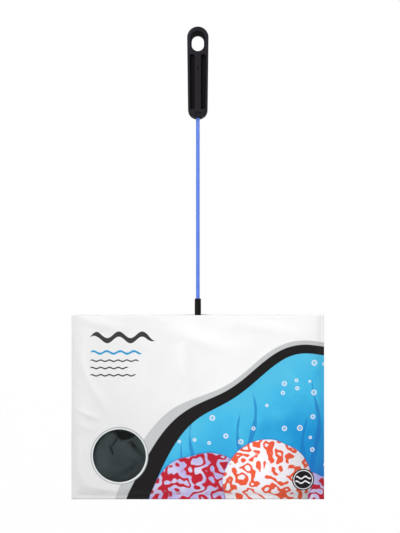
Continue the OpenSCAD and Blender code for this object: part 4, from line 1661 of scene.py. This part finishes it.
def make_front_film():
    """Printed film with the window's hole: a grid, and rings of quads between the hole and the square round
    it"""
    reach = WINDOW_DISC + SQUARE_MARGIN
    seals = [BAG_LOW[0], -BAG_SEAL_X, WINDOW_X - reach, WINDOW_X + reach, BAG_SEAL_X, BAG_HIGH[0]]
    levels = [BAG_LOW[2], BAG_SEAL_Z, WINDOW_Z - reach, WINDOW_Z + reach, BAG_HIGH[2]]
    columns, starts = span_steps(seals, [FRONT_STEP] * 5)
    first_column, last_column = starts[2:4]
    rows, starts = span_steps(levels, [FRONT_STEP] * 4)
    first_row, last_row = starts[2:4]
    x, z = np.meshgrid(columns, rows)
    places = np.stack([x, z], -1).reshape(-1, 2)
    width = len(columns)
    faces = grid_faces(len(rows), width)
    i, j = faces[:, 0] // width, faces[:, 0] % width
    inside = (i >= first_row) & (i < last_row) & (j >= first_column) & (j < last_column)
    faces = faces[~inside].tolist()
    border = ([first_row * width + k for k in range(first_column, last_column)]
              + [k * width + last_column for k in range(first_row, last_row)]
              + [last_row * width + k for k in range(last_column, first_column, -1)]
              + [k * width + first_column for k in range(last_row, first_row, -1)])
    away = places[border] - [WINDOW_X, WINDOW_Z]
    rim = [WINDOW_X, WINDOW_Z] + WINDOW_HOLE * away / np.linalg.norm(away, axis=1)[:, None]
    rings = 9
    before = border
    for ring in range(1, rings + 1):
        share = (ring / rings) ** 0.8
        new = len(places) + np.arange(len(border))
        places = np.concatenate([places, mix(places[border], rim, share)])
        for k in range(len(border)):
            n = (k + 1) % len(border)
            faces.append([before[k], before[n], int(new[n]), int(new[k])])
        before = [int(n) for n in new]
    used = np.unique(np.array(faces))
    lookup = np.zeros(len(places), int)
    lookup[used] = np.arange(len(used))
    points = film_place(places[used, 0], places[used, 1], -1)
    sheet = new_piece("bag_front_film", points, lookup[np.array(faces)], [PRINTED_FILM, WHITE_FILM])
    return thicken(sheet, FILM_WALL, 1)


def make_back_film():
    steps = [BACK_SEAL_STEP, BACK_STEP, BACK_SEAL_STEP]
    columns = span_steps([BAG_LOW[0], -BAG_SEAL_X, BAG_SEAL_X, BAG_HIGH[0]], steps)[0]
    rows = span_steps([BAG_LOW[2], BAG_SEAL_Z, BAG_HIGH[2]], steps)[0]
    x, z = np.meshgrid(columns, rows)
    points = film_place(x, z, 1).reshape(-1, 3)
    sheet = new_piece("bag_back_film", points, grid_faces(len(rows), len(columns), flip=True), [WHITE_FILM])
    return thicken(sheet, FILM_WALL)


def make_window_film():
    """Clear disc welded behind the ring"""
    rings = 18
    a, b, faces = disc((WINDOW_DISC - WINDOW_FIT) * np.arange(1, rings + 1) / rings, 96)
    points = film_place(WINDOW_X + a, WINDOW_Z + b, -1, 0)
    sheet = new_piece("bag_window_film", points, faces, [CLEAR_FILM])
    return thicken(sheet, WINDOW_WALL)


# Pieces on their bodies

def place_piece(piece, body, slot, *nodes):
    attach(piece, body)
    if nodes:
        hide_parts(*nodes)
    return piece


for node in ("shaft_wire", "hoop_wire"):
    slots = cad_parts[node].data.materials
    slots.clear()
    slots.append(STEEL_WIRE)

place_piece(make_grip(), "net", "grip_plastic", "grip")
place_piece(make_shaft(), "net", "blue_coating", "shaft_coating")
place_piece(make_ferrule(), "net", "ferrule_plastic", "ferrule")
place_piece(make_hoop_coating(), "net", "blue_coating", "hoop_coating")
hem = place_piece(make_hem(), "net", "binding_cloth", "hem")
hem_thread = place_piece(make_hem_stitches(), "net", "binding_cloth")
rear_layer = place_piece(make_rear_layer(), "net", "net_cloth", "net_rear_panel")
front_layer, strip_line = make_front_layer()
place_piece(front_layer, "net", "net_cloth", "net_front_panel")
strip_row = (strip_line, STITCH_SPACING, STITCH_LENGTH, 0, (0, -1, 0))
strip_thread = stitch_rows("strip_stitches", [strip_row])
place_piece(strip_thread, "net", "binding_cloth")
seam_roll = place_piece(make_pocket_seam(), "net", "binding_cloth", "pocket_seam")
seam_thread = place_piece(make_seam_stitches(), "net", "binding_cloth")
place_piece(make_front_film(), "bag", "printed_film", "bag_front")
place_piece(make_back_film(), "bag", "white_film", "bag_back")
place_piece(make_window_film(), "bag", "clear_film", "bag_window")


# Studio

FLOOR_HEIGHT = -0.70
CAMERA_PLACE = (0.00224, -0.650, -0.23505)
VIEW_HEIGHT = 0.5543
SENSOR = 36.0
AMBIENT = 0.34

# Lamps: place, target, size and power
LAMPS = {
    "key": ((-0.9, -0.85, 0.95), (0, 0, -0.3), (0.4, 0.4), 15),
    "gloss": ((-0.42, -1.5, 0.35), (0, 0, -0.4), (0.3, 0.3), 1),
    "strip": ((-0.85, -1.6, -0.25), (0, 0, -0.25), (0.2, 1.4), 6.5),
    "fill": ((1.3, -0.8, 0.3), (0, 0, -0.3), (0.3, 0.3), 7.5),
    "rear": ((0.5, 1.7, 0.5), (0, 0, -0.25), (1.0, 1.0), 18),
}


def floor_material():
    """White to the camera but for a little shadow, fading out far from the object"""
    material, tree = new_material("floor", Roughness=0.8, Specular_IOR_Level=0.1)
    place = coordinates(tree)
    x, y, _ = parts_of(place)
    connect(material, Base_Color=scale_colour((1.0, 1.0, 1.0), 0.84 + noise(place, 200, 2.0) * 0.02))
    shader = tree.nodes["Principled BSDF"]
    white = add_node(tree, "ShaderNodeEmission", {"Color": (1, 1, 1, 1), "Strength": 1.0})
    clear = add_node(tree, "ShaderNodeBsdfTransparent")
    seen = node_field(tree, "ShaderNodeLightPath", output="Is Camera Ray")
    shadowed = node_field(
        tree, "ShaderNodeMixShader", {0: seen * 0.97, 1: shader.outputs[0], 2: white.outputs[0]})
    far = x.hypot(y).over(1400, 1800)
    faded = node_field(tree, "ShaderNodeMixShader", {0: far, 1: shadowed, 2: clear.outputs[0]})
    tree.links.new(faded.socket, tree.nodes["Material Output"].inputs["Surface"])
    return material


def make_floor():
    """Plain pale floor that fades into the background"""
    a, b, faces = disc([200, 600, 1200, 2000, 3000], 96)
    points = np.stack([a, b, 0 * a + FLOOR_HEIGHT / MM], -1)
    new_piece("floor", points, [face[::-1] for face in faces], [floor_material()])


def make_world():
    """White to the camera and in reflections, and a softer light on the object"""
    world = bpy.data.worlds.new("studio")
    world.use_nodes = True
    tree = world.node_tree
    path = add_node(tree, "ShaderNodeLightPath")
    seen = Field(tree, path.outputs["Is Camera Ray"])
    for label in ("Is Glossy Ray", "Is Transmission Ray"):
        seen = seen.most(Field(tree, path.outputs[label]))
    strength = AMBIENT + seen * (1 - AMBIENT)
    background = tree.nodes["Background"]
    background.inputs["Color"].default_value = (1, 1, 1, 1)
    tree.links.new(strength.socket, background.inputs["Strength"])
    bpy.context.scene.world = world


def add_lamp(name, place, target, size, power):
    data = bpy.data.lights.new(name, "AREA")
    data.shape = "RECTANGLE"
    data.size, data.size_y = size
    data.energy = power
    lamp = add_object(name, data)
    lamp.location = place
    lamp.rotation_euler = (Vector(target) - Vector(place)).to_track_quat("-Z", "Y").to_euler()
    lamp.visible_glossy = name != "rear"


make_floor()
make_world()
for name, lamp in LAMPS.items():
    add_lamp(name, *lamp)

camera_data = bpy.data.cameras.new("camera")
camera_data.sensor_fit = "VERTICAL"
camera_data.sensor_height = SENSOR
camera_data.lens = SENSOR * -CAMERA_PLACE[1] / VIEW_HEIGHT
camera_data.clip_start = 0.01
camera_data.clip_end = 20
camera = add_object("camera", camera_data)
camera.location = CAMERA_PLACE
camera.rotation_euler = (math.radians(90), 0, 0)
bpy.context.scene.camera = camera
bpy.context.scene.view_settings.view_transform = "Standard"

bpy.context.view_layer.update()
